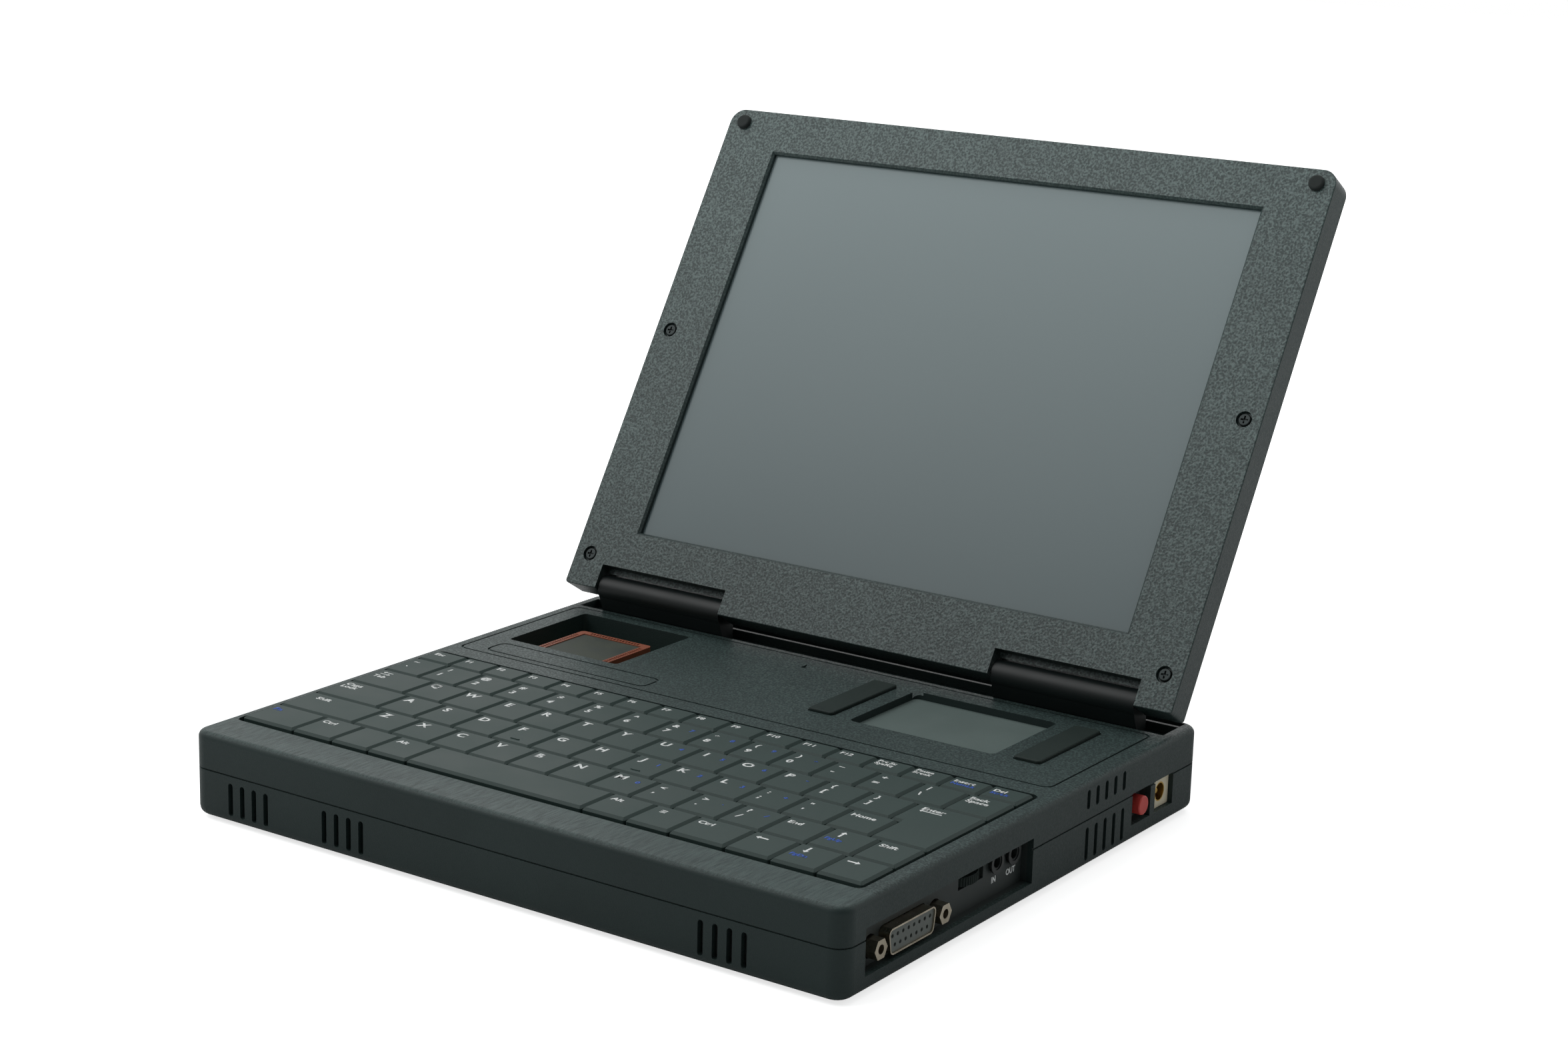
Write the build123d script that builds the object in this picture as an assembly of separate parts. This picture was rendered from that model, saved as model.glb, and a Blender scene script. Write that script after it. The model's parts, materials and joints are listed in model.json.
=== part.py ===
from build123d import *
import math
import os

os.makedirs("parts", exist_ok=True)

# Millimetres. x to the right, y to the back, z up. The origin is on the surface, under the middle of the case.

# Case
case_width = 243.8
case_depth = 205.8
case_height = 27.5           # underside to deck
foot_stand = 1.0             # how far the feet lift the case
wall = 2.0
floor_thickness = 2.0
deck_thickness = 2.5
parting_height = 15.9        # underside to the seam between the two cases
corner_radius = 5.5
top_edge_radius = 2.2
bottom_edge_radius = 3.0
seam_size = 0.5              # shadow line along the seam
running_gap = 0.3            # between pieces that move past each other
fit_gap = 0.2                # between pieces that are only put together

# Feet and case screws
foot_radius = 6.0
foot_recess = 0.8
foot_inset = 18.0
case_screw_inset_x = 6.9
case_screw_inset_y = 5.8
case_screw_middle_x = 40.0
case_screw_radius = 1.25
case_screw_head_radius = 2.3
case_screw_head_height = 1.2
case_boss_radius = 3.2

# Vents
vent_width = 1.9
vent_height = 10.6
vent_low = 2.6               # underside to the slots
vent_pitch = 4.95
front_vent_starts = [16.6 - case_width / 2, 55.7 - case_width / 2, case_width / 2 - 47.4]
front_vent_count = 4
side_vent_start = case_depth - 72.8      # from the front
side_vent_pitch = 5.6
side_vent_count = 5
side_vent_upper_low = 19.0
side_vent_upper_height = 6.2

# Keyboard
well_left = 3.5 - case_width / 2
well_right = case_width / 2 - 5.5
well_front = 15.8            # from the front of the case
well_back = case_depth - 92.8
well_corner = 2.5
well_wall = 1.5
keyboard_left = 4.5 - case_width / 2
keyboard_width = case_width - 10.8
keyboard_front = 17.7        # from the front of the case
keyboard_back_gap = 2.15      # behind the keys
row_count = 5                # full rows, and a lower row of function keys behind them
function_row_share = 0.6626  # depth of the function row in row pitches
row_pitch = (well_back - keyboard_back_gap - keyboard_front) / (row_count + function_row_share)
pitches_across = 14.936
key_pitch = keyboard_width / pitches_across
function_key_count = 17
key_gap = 0.5
key_rise = 0.9               # key tops above the deck
key_height = 3.3
key_bevel = 0.8
key_bevel_inset = 0.8
key_corner = 0.7
key_skin = 1.2
key_travel = 2.0
key_stem = 3.6
tray_thickness = 1.0
tray_margin = 3.0
wide_key = 1.9               # keys of more pitches than this get two stems
letter_key = (None, 1)
function_key = (None, pitches_across / function_key_count)
# Rows from the front to the back: the node of the row's plain keys, the row's depth in row pitches, and each
# key's node and width in key pitches. None in place of a node is one of the plain keys, and the last key takes
# what is left of the width.
key_layout = [
    ("bottom_row_keys", 1, [(None, 1.365), (None, 1.026), (None, 0.962), letter_key, ("key_space", 4.333),
                            (None, 1.019), letter_key, (None, 1.244), ("key_left", 0.994), ("key_down", 0.994),
                            ("key_right", None)]),
    ("lower_letter_keys", 1, [("key_left_shift", 1.987)] + 11 * [letter_key]
     + [("key_up", 1), ("key_right_shift", None)]),
    ("middle_letter_keys", 1, [("key_caps_lock", 1.686)] + 12 * [letter_key] + [("key_enter", None)]),
    ("upper_letter_keys", 1, [("key_tab", 1.455)] + 12 * [letter_key] + [("key_enter", None)]),
    ("number_row_keys", 1, [(None, 0.936)] + 13 * [letter_key] + [(None, None)]),
    ("function_row_keys", function_row_share, [("key_esc", function_key[1])]
     + (function_key_count - 2) * [function_key] + [(None, None)]),
]
enter_rows = (2, 3)          # rows that the enter key covers, counted from the front row, 0

# Chip bay
bay_left = 12.4 - case_width / 2
bay_right = 59.1 - case_width / 2
bay_front = case_depth - 67.3
bay_back = case_depth - 25.3
bay_corner = 1.5
bay_wall = 1.5
bay_depth = 11.0             # deck to the processor board
board_thickness = 1.6
socket_size = 30.5
socket_height = 8.4
socket_left_gap = 7.5
socket_front_gap = 1.0
socket_rim = 2.7
socket_corner = 1.5
contact_pitch = 1.27
contact_count = 17
contact_slot = 0.75
contact_depth = 1.2
chip_thickness = 3.4
chip_below_rim = 0.3
chip_corner_cut = 2.2

# Touchpad and click buttons
pad_left = case_width / 2 - 90.2
pad_right = case_width / 2 - 36.5
pad_front = case_depth - 68.3
pad_back = case_depth - 28.2
pad_corner = 2.0
pad_ledge = 2.0              # slope at the back of the touchpad window
pad_ledge_inset = 3.0        # from the window's sides
pad_module_height = 4.0
pad_margin = 3.0
button_width = 9.4
button_front = case_depth - 67.8
button_back = case_depth - 28.5
left_button_x = case_width / 2 - 101.7
right_button_x = case_width / 2 - 25.2
button_rise = 1.0
button_flange = 1.2
button_flange_margin = 1.0
button_travel = 0.8
button_corner = 1.2
switch_size = 6.0

# Engraved outlines on the deck
groove_left = 4.7 - case_width / 2
groove_right = case_width / 2 - 6.7
groove_front = case_depth - 85.3
groove_back = case_depth - 19.8
groove_width = 0.7
groove_depth = 0.45
groove_corner = 3.0
plate_left = 13.6 - case_width / 2
plate_right = 81.7 - case_width / 2
plate_front = case_depth - 82.0
plate_back = case_depth - 71.5

# Trough in the deck under the lid's hinge edge, with a thin rib along it
trough_side_inset = 4.2      # from the sides of the case
trough_front = case_depth - 17.7
trough_back = case_depth - 2.6
trough_rib_front = case_depth - 7.4
trough_rib_back = case_depth - 6.1
trough_depth = 3.0
trough_skin = 1.5

# Port panel in the right side
port_front = 10.7            # from the front of the case
port_back = 100.3
port_low = 5.1               # from the underside
port_high = 19.1
port_recess = 4.0
port_wall_margin = 8.0       # wall in front of and behind the opening that is a solid of its own
panel_thickness = 1.5
panel_rim = 1.5

# Game port, 15 ways in two rows
game_port_y = 35.4
game_port_height = 10.5
shell_width = 24.7
shell_tall = 7.9
shell_slope = 10.0
shell_sheet = 0.5
shell_corner = 1.8
shell_short_of_side = 0.5
flange_width = 39.2
flange_tall = 12.4
flange_sheet = 0.8
flange_corner = 1.0
standoff_spacing = 33.32
standoff_flats = 5.6
standoff_short_of_side = 0.1
standoff_thread_radius = 1.42
standoff_thread_depth = 5.0
standoff_hole_radius = 3.5
insert_setback = 0.5
insert_rear = 9.0
socket_pitch = 2.77
socket_row_gap = 2.84
socket_hole_radius = 0.6
socket_hole_depth = 5.0
upper_sockets = 8

# Audio jacks
jack_positions = [84.6, 94.3]
jack_height = 15.7
jack_nose_radius = 3.0
jack_bore_radius = 1.8
jack_bore_depth = 13.0
jack_nose = 1.0              # how far it stands out of the panel
jack_body_length = 14.0
jack_body_width = 6.4
jack_body_rise = 3.2         # above the bore's axis
audio_board_low = 7.3
audio_board_front = 61.0
audio_board_back = 101.0
audio_board_width = 19.0
post_radius = 2.5
audio_post_inset = 7.0       # from the ends of the audio board

# Thumb wheel
wheel_y = 71.6
wheel_radius = 9.3
wheel_thickness = 2.8
wheel_proud = 1.3            # beyond the panel
wheel_low = 12.9
wheel_ribs = 60
wheel_rib_depth = 0.35
wheel_slot_length = 13.7
wheel_slot_height = 3.6
wheel_axle_radius = 1.5
wheel_axle_fit = 0.05
pot_size = 10.0

# Power button and supply jack windows
power_y = case_depth - 38.3
supply_y = case_depth - 23.25
window_width = 12.0
window_low = 5.7
window_high = 16.1
cap_radius = 3.1
cap_proud = 1.0
cap_travel = 2.0
cap_depth = 13.0
switch_body_length = 18.0
supply_setback = 1.6
supply_length = 15.0
supply_bore_radius = 3.2
supply_bore_depth = 9.0
supply_liner = 0.4
supply_pin_radius = 1.0
supply_pin_setback = 1.0

# Boards and blocks inside
main_board_low = 3.6
main_board_thickness = 1.6
main_board_front = case_depth - 87.8
main_board_back = case_depth - 10.8
main_board_side = case_width / 2 - 5.9
connector_board_left = case_width / 2 - 61.9
connector_board_front = 14.0
connector_board_back = 58.0
bridge_width = 30.0
battery_left = 9.9 - case_width / 2
battery_right = case_width / 2 - 101.9
battery_front = 16.0
battery_back = case_depth - 97.8
battery_height = 17.0
battery_corner = 2.0
drive_left = -36.0
drive_width = 54.0
drive_length = 74.0
drive_height = 8.0
drive_corner = 1.0
sink_left = case_width / 2 - 24.9
sink_right = case_width / 2 - 4.9
sink_front = case_depth - 75.8
sink_back = case_depth - 47.8
sink_height = 13.0
sink_fins = 6
speaker_width = 34.0
speaker_depth = 9.0
speaker_height = 11.0
speaker_gap = 0.3

# Lid, in its own flat frame: x across, v up from the hinge edge, w towards the user
lid_length = case_depth - 16.3
lid_thickness = 11.2
lid_gap = 2.2                # closed lid above the deck
lid_low_corner = 1.2         # at the hinge edge
lid_open_angle = 121.3       # between deck and screen, as it stands
bezel_depth = 4.5            # from its face to the seam with the back cover
bezel_edge_radius = 0.4
cover_edge_radius = 0.9
screen_centre_x = 0.3
screen_low = 23.2
screen_top_border = 16.3
screen_width = case_width - 47.5
screen_height = lid_length - screen_low - screen_top_border
screen_slope = 0.8
glass_thickness = 1.6
glass_margin = 4.0
display_frame_depth = 4.4
display_frame_margin = 2.0
notch_inner = case_width / 2 - 67.5
notch_outer = case_width / 2 - 13.5
notch_height = 9.1           # in the bezel
notch_clearance = 0.35       # in the back cover, above the hinge barrel
lid_screw_x = case_width / 2 - 6.4
lid_screw_heights = [12.1, 100.0]
lid_screw_head_radius = 2.15
lid_screw_head_height = 1.2
lid_screw_sunk = 0.3
lid_screw_recess_radius = 2.8
lid_screw_radius = 1.1
lid_screw_length = 6.5
cross_length = 2.6
cross_width = 0.6
cross_depth = 0.7
lid_boss_radius = 2.8
bumper_x = case_width / 2 - 6.6
bumper_height = lid_length - 5.3
bumper_radius = 2.7
bumper_proud = 1.6
bumper_recess = 1.0
inverter_width = 90.0
inverter_low = 4.0
inverter_tall = 14.0
inverter_thick = 3.0

# Hinges
hinge_from_front = case_depth - 15.5
hinge_in_lid = 2.2           # hinge axis above the lid's bottom edge
barrel_radius = 4.6
barrel_clearance = 0.6       # to the sides of the notch
barrel_skin = 1.0
barrel_neck_depth = 0.8      # where the neck leaves the barrel, in barrel radii
barrel_neck_drop = 0.6
neck_front = 0.7             # in front of the axis line, at the trough's floor
neck_back = 4.6              # behind it
pin_radius = 1.5
pin_fit = 0.05
knuckle_radius = 3.0
knuckle_length = 16.0
knuckle_margin = 0.4
leg_front = 0.4
leg_back = 2.8
foot_plate_reach = 7.0
foot_plate_thickness = 1.6
arm_width = 7.0
arm_gap = 0.6
arm_thickness = 2.4
arm_top = 50.0
arm_low = 0.9

# Worked out from the sizes above
case_side = case_width / 2
case_front = -case_depth / 2
case_back = case_depth / 2
case_bottom = foot_stand
floor_z = case_bottom + floor_thickness
parting_z = case_bottom + parting_height
deck_z = case_bottom + case_height
deck_under = deck_z - deck_thickness
trough_floor = deck_z - trough_depth
trough_under = trough_floor - trough_skin
inner_side = case_side - wall
key_top = deck_z + key_rise
key_bottom = key_top - key_height
tray_top = key_bottom - key_travel - running_gap
panel_face = case_side - port_recess
panel_back = panel_face - panel_thickness
main_board_top = case_bottom + main_board_low + main_board_thickness
audio_board_top = case_bottom + audio_board_low + board_thickness
board_top = deck_z - bay_depth
hinge_y = case_front + hinge_from_front
hinge_in_w = -lid_thickness / 2
hinge_z = deck_z + lid_gap + lid_thickness / 2
cover_notch_height = hinge_in_lid + barrel_radius + notch_clearance
barrel_inner = notch_inner + barrel_clearance
barrel_outer = notch_outer - barrel_clearance


def block(x0, x1, y0, y1, z0, z1):
    return Pos((x0 + x1) / 2, (y0 + y1) / 2, (z0 + z1) / 2) * Box(x1 - x0, y1 - y0, z1 - z0)


def round_block(x0, x1, y0, y1, z0, z1, radius):
    outline = Pos((x0 + x1) / 2, (y0 + y1) / 2, z0) * RectangleRounded(x1 - x0, y1 - y0, radius)
    return extrude(outline, z1 - z0)


def rod_x(x0, x1, y, z, radius):
    return Pos((x0 + x1) / 2, y, z) * Rot(0, 90, 0) * Cylinder(radius, x1 - x0)


def rod_z(x, y, z0, z1, radius):
    return Pos(x, y, (z0 + z1) / 2) * Cylinder(radius, z1 - z0)


def side_plane(x, from_front, height):
    # a plane in the right side: its own x runs to the back and its own y runs up
    return Plane(origin=(x, case_front + from_front, case_bottom + height), x_dir=(0, 1, 0), z_dir=(1, 0, 0))


def deck_outline(left, right, front, back, width, depth, corner):
    # a closed groove in the deck
    top = deck_z + depth
    outer = round_block(left, right, case_front + front, case_front + back, deck_z - depth, top, corner)
    inner = round_block(left + width, right - width, case_front + front + width,
                        case_front + back - width, deck_z - depth, top, corner - width / 2)
    return outer - inner


# Openings in the case walls

def front_vents():
    slots = []
    height = case_bottom + vent_low + vent_height / 2
    for start in front_vent_starts:
        for count in range(front_vent_count):
            slot = extrude(SlotOverall(vent_height, vent_width, rotation=90), 2 * wall, both=True)
            slots.append(Pos(start + count * vent_pitch, case_front, height) * Rot(90, 0, 0) * slot)
    return slots


def side_vents(low, height):
    slots = []
    for count in range(side_vent_count):
        slot = extrude(SlotOverall(height, vent_width), 2 * wall, both=True)
        place = side_plane(case_side, side_vent_start + count * side_vent_pitch, low + height / 2)
        slots.append(place * Rot(0, 0, 90) * slot)
    return slots


def side_window(from_front, to_front, low, high, inner_x):
    return block(inner_x, case_side + wall, case_front + from_front, case_front + to_front,
                 case_bottom + low, case_bottom + high)


def side_windows():
    half = window_width / 2
    through = inner_side - fit_gap
    return [
        side_window(port_front, port_back, port_low, port_high, through),
        side_window(power_y - half, power_y + half, window_low, window_high, through),
        side_window(supply_y - half, supply_y + half, window_low, window_high, through),
    ]


# Case shells

def case_screw_places():
    corner_x = case_side - case_screw_inset_x
    front = case_front + case_screw_inset_y
    back = case_back - case_screw_inset_y
    return [(-corner_x, front), (corner_x, front), (-corner_x, back), (corner_x, back),
            (-case_screw_middle_x, back), (case_screw_middle_x, back)]


def foot_places():
    x = case_side - foot_inset
    y = case_back - foot_inset
    return [(-x, -y), (x, -y), (-x, y), (x, y)]


def bottom_case():
    shell = round_block(-case_side, case_side, case_front, case_back, case_bottom, parting_z, corner_radius)
    shell = fillet(shell.faces().sort_by(Axis.Z)[0].edges(), bottom_edge_radius)
    shell -= round_block(-inner_side, inner_side, case_front + wall, case_back - wall, floor_z,
                         parting_z + wall, corner_radius - wall)
    for x, y in case_screw_places():
        shell += rod_z(x, y, floor_z, parting_z, case_boss_radius)
    for x, y in audio_posts():
        shell += rod_z(x, y, floor_z, case_bottom + audio_board_low, post_radius)
    for x, y in main_board_posts():
        shell += rod_z(x, y, floor_z, case_bottom + main_board_low, post_radius)
    seam = round_block(-case_side, case_side, case_front, case_back, parting_z - seam_size, parting_z, corner_radius)
    seam -= round_block(-case_side + seam_size, case_side - seam_size, case_front + seam_size,
                        case_back - seam_size, parting_z - seam_size, parting_z, corner_radius - seam_size)
    shell -= seam
    shell -= front_vents() + side_vents(vent_low, vent_height) + side_windows()
    head_top = case_bottom + foot_recess + case_screw_head_height
    for x, y in case_screw_places():
        shell -= rod_z(x, y, case_bottom, head_top, case_screw_head_radius + fit_gap)
        shell -= rod_z(x, y, head_top, parting_z, case_screw_radius)
    for x, y in foot_places():
        shell -= rod_z(x, y, case_bottom, case_bottom + foot_recess, foot_radius)
    return shell


def ring_wall(x0, x1, y0, y1, z0, z1, thickness, corner):
    outer = round_block(x0 - thickness, x1 + thickness, y0 - thickness, y1 + thickness, z0, z1, corner + thickness)
    return outer - round_block(x0, x1, y0, y1, z0, z1, corner)


def touchpad_ledge():
    # the slope along the back of the touchpad window
    y = case_front + pad_back
    slope = Polygon((y - pad_ledge, deck_z), (y + pad_ledge, deck_z), (y - pad_ledge, deck_z - pad_ledge), align=None)
    start = Plane(origin=(pad_left + pad_ledge_inset, 0, 0), x_dir=(0, 1, 0), z_dir=(1, 0, 0))
    return extrude(start * slope, pad_right - pad_left - 2 * pad_ledge_inset)


def trough_cuts():
    x = case_side - trough_side_inset
    ends = ((trough_front, trough_rib_front), (trough_rib_back, trough_back))
    return [block(-x, x, case_front + y0, case_front + y1, trough_floor, deck_z) for y0, y1 in ends]


def top_case():
    shell = round_block(-case_side, case_side, case_front, case_back, parting_z, deck_z, corner_radius)
    shell = fillet(shell.faces().sort_by(Axis.Z)[-1].edges(), top_edge_radius)
    shell -= round_block(-inner_side, inner_side, case_front + wall, case_back - wall, parting_z - wall,
                         deck_under, corner_radius - wall)
    well_y = (case_front + well_front, case_front + well_back)
    bay_y = (case_front + bay_front, case_front + bay_back)
    shell += ring_wall(bay_left, bay_right, *bay_y, board_top, deck_under, bay_wall, bay_corner)
    shell += block(-inner_side, inner_side, case_front + trough_front - trough_skin, case_back - wall, trough_under,
                   deck_under)
    for x, y in case_screw_places():
        shell += rod_z(x, y, parting_z, deck_under, case_boss_radius)
        shell -= rod_z(x, y, parting_z, parting_z + case_height / 4, case_screw_radius)
    shell -= round_block(well_left, well_right, *well_y, deck_under, deck_z, well_corner)
    shell -= round_block(bay_left, bay_right, *bay_y, deck_under, deck_z, bay_corner)
    shell -= round_block(pad_left, pad_right, case_front + pad_front, case_front + pad_back, deck_under,
                         deck_z, pad_corner)
    shell -= touchpad_ledge()
    shell -= trough_cuts()
    for x in (left_button_x, right_button_x):
        shell -= button_block(x, running_gap, deck_under, deck_z)
    shell -= deck_outline(groove_left, groove_right, groove_front, groove_back, groove_width, groove_depth,
                          groove_corner)
    shell -= deck_outline(plate_left, plate_right, plate_front, plate_back, groove_width, groove_depth,
                          groove_corner)
    shell -= side_vents(side_vent_upper_low, side_vent_upper_height) + side_windows()
    for side in (-1, 1):
        shell -= hinge_leg(side, fit_gap)
    # the wall round the ports is a solid of its own, flush with the rest
    port_wall = block(inner_side, case_side, case_front + port_front - port_wall_margin,
                      case_front + port_back + port_wall_margin, parting_z, deck_under)
    return Compound(children=[shell - port_wall, shell & port_wall])


def button_block(x, margin, z0, z1):
    half = button_width / 2 + margin
    return round_block(x - half, x + half, case_front + button_front - margin, case_front + button_back + margin,
                       z0, z1, button_corner + margin)


def rubber_feet():
    feet = [rod_z(x, y, 0, case_bottom + foot_recess, foot_radius) for x, y in foot_places()]
    edge = min(foot_stand, foot_recess) / 2
    return Compound(children=[chamfer(foot.faces().sort_by(Axis.Z)[0].edges(), edge) for foot in feet])


def cross_recess(x, y, top, depth):
    cross = Box(cross_length, cross_width, depth) + Box(cross_width, cross_length, depth)
    return Pos(x, y, top) * cross


def case_screws():
    screws = []
    head_low = case_bottom + foot_recess
    head_top = head_low + case_screw_head_height
    for x, y in case_screw_places():
        screw = rod_z(x, y, head_low, head_top, case_screw_head_radius)
        screw += rod_z(x, y, head_top, parting_z + case_height / 5, case_screw_radius)
        screws.append(screw - cross_recess(x, y, head_low, case_screw_head_height))
    return Compound(children=screws)


# Keyboard

def key_cells():
    # each key's node with the left, right, front and back of its cell
    cells = []
    front = case_front + keyboard_front
    for row_name, pitches_deep, keys in key_layout:
        left = keyboard_left
        back = front + pitches_deep * row_pitch
        for name, pitches_wide in keys:
            right = keyboard_left + keyboard_width if pitches_wide is None else left + pitches_wide * key_pitch
            cells.append((name or row_name, left, right, front, back))
            left = right
        front = back
    return cells


def cell_outline(cell, inset, z):
    name, left, right, front, back = cell
    corner = max(key_corner - inset / 2, key_corner / 3)
    return Pos((left + right) / 2, (front + back) / 2, z) * RectangleRounded(
        right - left - 2 * inset, back - front - 2 * inset, corner)


def key_outline(cells, inset, z):
    # the enter key covers a cell in each of two rows, so the gap between them is closed
    outline = cell_outline(cells[0], inset, z)
    if len(cells) == 2:
        lower, upper = cells
        left = max(lower[1], upper[1]) + inset
        right = min(lower[2], upper[2]) - inset
        outline += cell_outline(upper, inset, z)
        outline += Pos((left + right) / 2, lower[4], z) * Rectangle(right - left, row_pitch)
    return outline


def stem_places(cells):
    name, left, right, front, back = cells[0]
    middle = (front + back) / 2
    if right - left > wide_key * key_pitch:
        quarter = (right - left) / 4
        return [(left + quarter, middle), (right - quarter, middle)]
    return [((left + right) / 2, middle)]


def key_cap(cells):
    half_gap = key_gap / 2
    shoulder = key_top - key_bevel
    cap = extrude(key_outline(cells, half_gap, key_bottom), shoulder - key_bottom)
    slope = math.degrees(math.atan(key_bevel_inset / key_bevel))
    cap += extrude(key_outline(cells, half_gap, shoulder), key_bevel, taper=slope)
    ceiling = key_top - key_skin
    cap -= extrude(key_outline(cells, half_gap + key_skin, key_bottom), ceiling - key_bottom)
    for x, y in stem_places(cells):
        low = tray_top - tray_thickness - running_gap
        cap += Pos(x, y, (low + ceiling) / 2) * Box(key_stem, key_stem, ceiling - low)
    return cap


def keys():
    # node name to the list of its caps
    nodes = {}
    enter = []
    for cell in key_cells():
        if cell[0] == "key_enter":
            enter.append(cell)
            continue
        nodes.setdefault(cell[0], []).append(key_cap([cell]))
    nodes["key_enter"] = [key_cap(enter)]
    return nodes


def keyboard_tray():
    x0 = max(well_left - tray_margin, -inner_side + running_gap)
    x1 = min(well_right + tray_margin, inner_side - running_gap)
    y0 = case_front + well_front - tray_margin
    y1 = case_front + well_back + tray_margin
    tray = block(x0, x1, y0, y1, tray_top - tray_thickness, tray_top)
    tray += ring_wall(well_left, well_right, case_front + well_front, case_front + well_back, tray_top, deck_under,
                      well_wall, well_corner)
    hole = key_stem + 2 * fit_gap
    holes = []
    enter_back_row = case_front + keyboard_front + enter_rows[1] * row_pitch
    for cell in key_cells():
        if cell[0] == "key_enter" and cell[3] >= enter_back_row:
            continue
        for x, y in stem_places([cell]):
            holes.append(Pos(x, y, tray_top) * Box(hole, hole, 4 * tray_thickness))
    return tray - holes


# Chip bay

def bay_middle():
    # centre of the chip socket
    x = bay_left + socket_left_gap + socket_size / 2
    y = case_front + bay_front + socket_front_gap + socket_size / 2
    return x, y


def processor_board():
    return block(bay_left - bay_wall, bay_right + bay_wall, case_front + bay_front - bay_wall,
                 case_front + bay_back + bay_wall, board_top - board_thickness, board_top)


def contact_places():
    # one place for each contact, as x, y and whether it lies along a side wall
    middle_x, middle_y = bay_middle()
    offset = socket_size / 2 - socket_rim / 2
    first = -contact_pitch * (contact_count - 1) / 2
    places = []
    for count in range(contact_count):
        along = first + count * contact_pitch
        for side in (-1, 1):
            places.append((middle_x + along, middle_y + side * offset, False))
            places.append((middle_x + side * offset, middle_y + along, True))
    return places


def chip_socket():
    x, y = bay_middle()
    half = socket_size / 2
    top = board_top + socket_height
    socket = round_block(x - half, x + half, y - half, y + half, board_top, top, socket_corner)
    inner = half - socket_rim
    socket -= block(x - inner, x + inner, y - inner, y + inner, top - chip_below_rim - chip_thickness, top)
    slots = []
    for px, py, along_side in contact_places():
        size = (socket_rim / 2, contact_slot) if along_side else (contact_slot, socket_rim / 2)
        slots.append(Pos(px, py, top) * Box(*size, 2 * contact_depth))
    return socket - slots


def chip_contacts():
    top = board_top + socket_height
    tips = []
    for px, py, along_side in contact_places():
        tip = (socket_rim / 2, contact_slot / 2) if along_side else (contact_slot / 2, socket_rim / 2)
        tips.append(Pos(px, py, top - 3 * contact_depth / 4) * Box(*tip, contact_depth / 2))
    return Compound(children=tips)


def chip():
    x, y = bay_middle()
    half = socket_size / 2 - socket_rim - fit_gap / 2
    top = board_top + socket_height - chip_below_rim
    body = block(x - half, x + half, y - half, y + half, top - chip_thickness, top)
    corner = body.edges().filter_by(Axis.Z).sort_by(lambda edge: edge.center().X - edge.center().Y)[-1]
    return chamfer(corner, chip_corner_cut)


# Touchpad and click buttons

def touchpad():
    return block(pad_left - pad_margin, pad_right + pad_margin, case_front + pad_front - pad_margin,
                 case_front + pad_back + pad_margin, deck_under - pad_module_height, deck_under)


def touch_board():
    # the board under the touchpad, with a switch under each button
    left = left_button_x - button_width / 2
    right = right_button_x + button_width / 2
    top = deck_under - pad_module_height
    board = block(left, right, case_front + pad_front, case_front + pad_back, top - board_thickness, top)
    switch_top = deck_under - button_flange - button_travel - fit_gap / 4
    y = case_front + (button_front + button_back) / 2
    half = switch_size / 2
    for x in (left_button_x, right_button_x):
        board += block(x - half, x + half, y - half, y + half, top, switch_top)
    return board


def click_button(x):
    half = button_width / 2
    low = deck_under - button_flange
    cap = button_block(x, 0, low, deck_z + button_rise)
    cap = fillet(cap.faces().sort_by(Axis.Z)[-1].edges(), button_rise / 2)
    margin = button_flange_margin
    flange = block(x - half - margin, x + half + margin, case_front + button_front - margin,
                   case_front + button_back + margin, low, deck_under)
    return cap + flange


# Port panel and what is behind it

def cup(from_front, to_front, low, high, back_x, face_x):
    # a housing with a rim that meets the inside of the case wall round a window
    outer = block(back_x, inner_side, case_front + from_front - panel_rim, case_front + to_front + panel_rim,
                  case_bottom + low - panel_rim, case_bottom + high + panel_rim)
    return outer - side_window(from_front, to_front, low, high, face_x)


def shell_sketch(shrink):
    # outline of the game port, wide side up
    half_top = shell_width / 2 - shrink
    tall = shell_tall / 2 - shrink
    half_bottom = half_top - 2 * tall * math.tan(math.radians(shell_slope))
    outline = Polygon((-half_top, tall), (-half_bottom, -tall), (half_bottom, -tall), (half_top, tall), align=None)
    return fillet(outline.vertices(), max(shell_corner - shrink, shell_corner / 3))


def standoff_places():
    return [game_port_y - standoff_spacing / 2, game_port_y + standoff_spacing / 2]


def port_panel():
    panel = cup(port_front, port_back, port_low, port_high, panel_back, panel_face)
    opening = side_plane(panel_back, game_port_y, game_port_height) * shell_sketch(-fit_gap)
    panel -= extrude(opening, panel_thickness)
    for from_front in standoff_places():
        panel -= rod_x(panel_back, panel_face, case_front + from_front, case_bottom + game_port_height,
                       standoff_hole_radius)
    for from_front in jack_positions:
        panel -= rod_x(panel_back, panel_face, case_front + from_front, case_bottom + jack_height,
                       jack_nose_radius + fit_gap)
    half = wheel_slot_length / 2
    middle = wheel_low + wheel_thickness / 2
    panel -= side_window(wheel_y - half, wheel_y + half, middle - wheel_slot_height / 2,
                         middle + wheel_slot_height / 2, panel_back)
    return panel


def game_port_shell():
    face = case_side - shell_short_of_side
    tube = extrude(side_plane(panel_back, game_port_y, game_port_height) * shell_sketch(0), face - panel_back)
    hollow = extrude(side_plane(panel_back - flange_sheet, game_port_y, game_port_height)
                     * shell_sketch(shell_sheet), face - panel_back + flange_sheet)
    flange = extrude(side_plane(panel_back - flange_sheet, game_port_y, game_port_height)
                     * RectangleRounded(flange_width, flange_tall, flange_corner), flange_sheet)
    return tube + flange - hollow


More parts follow.
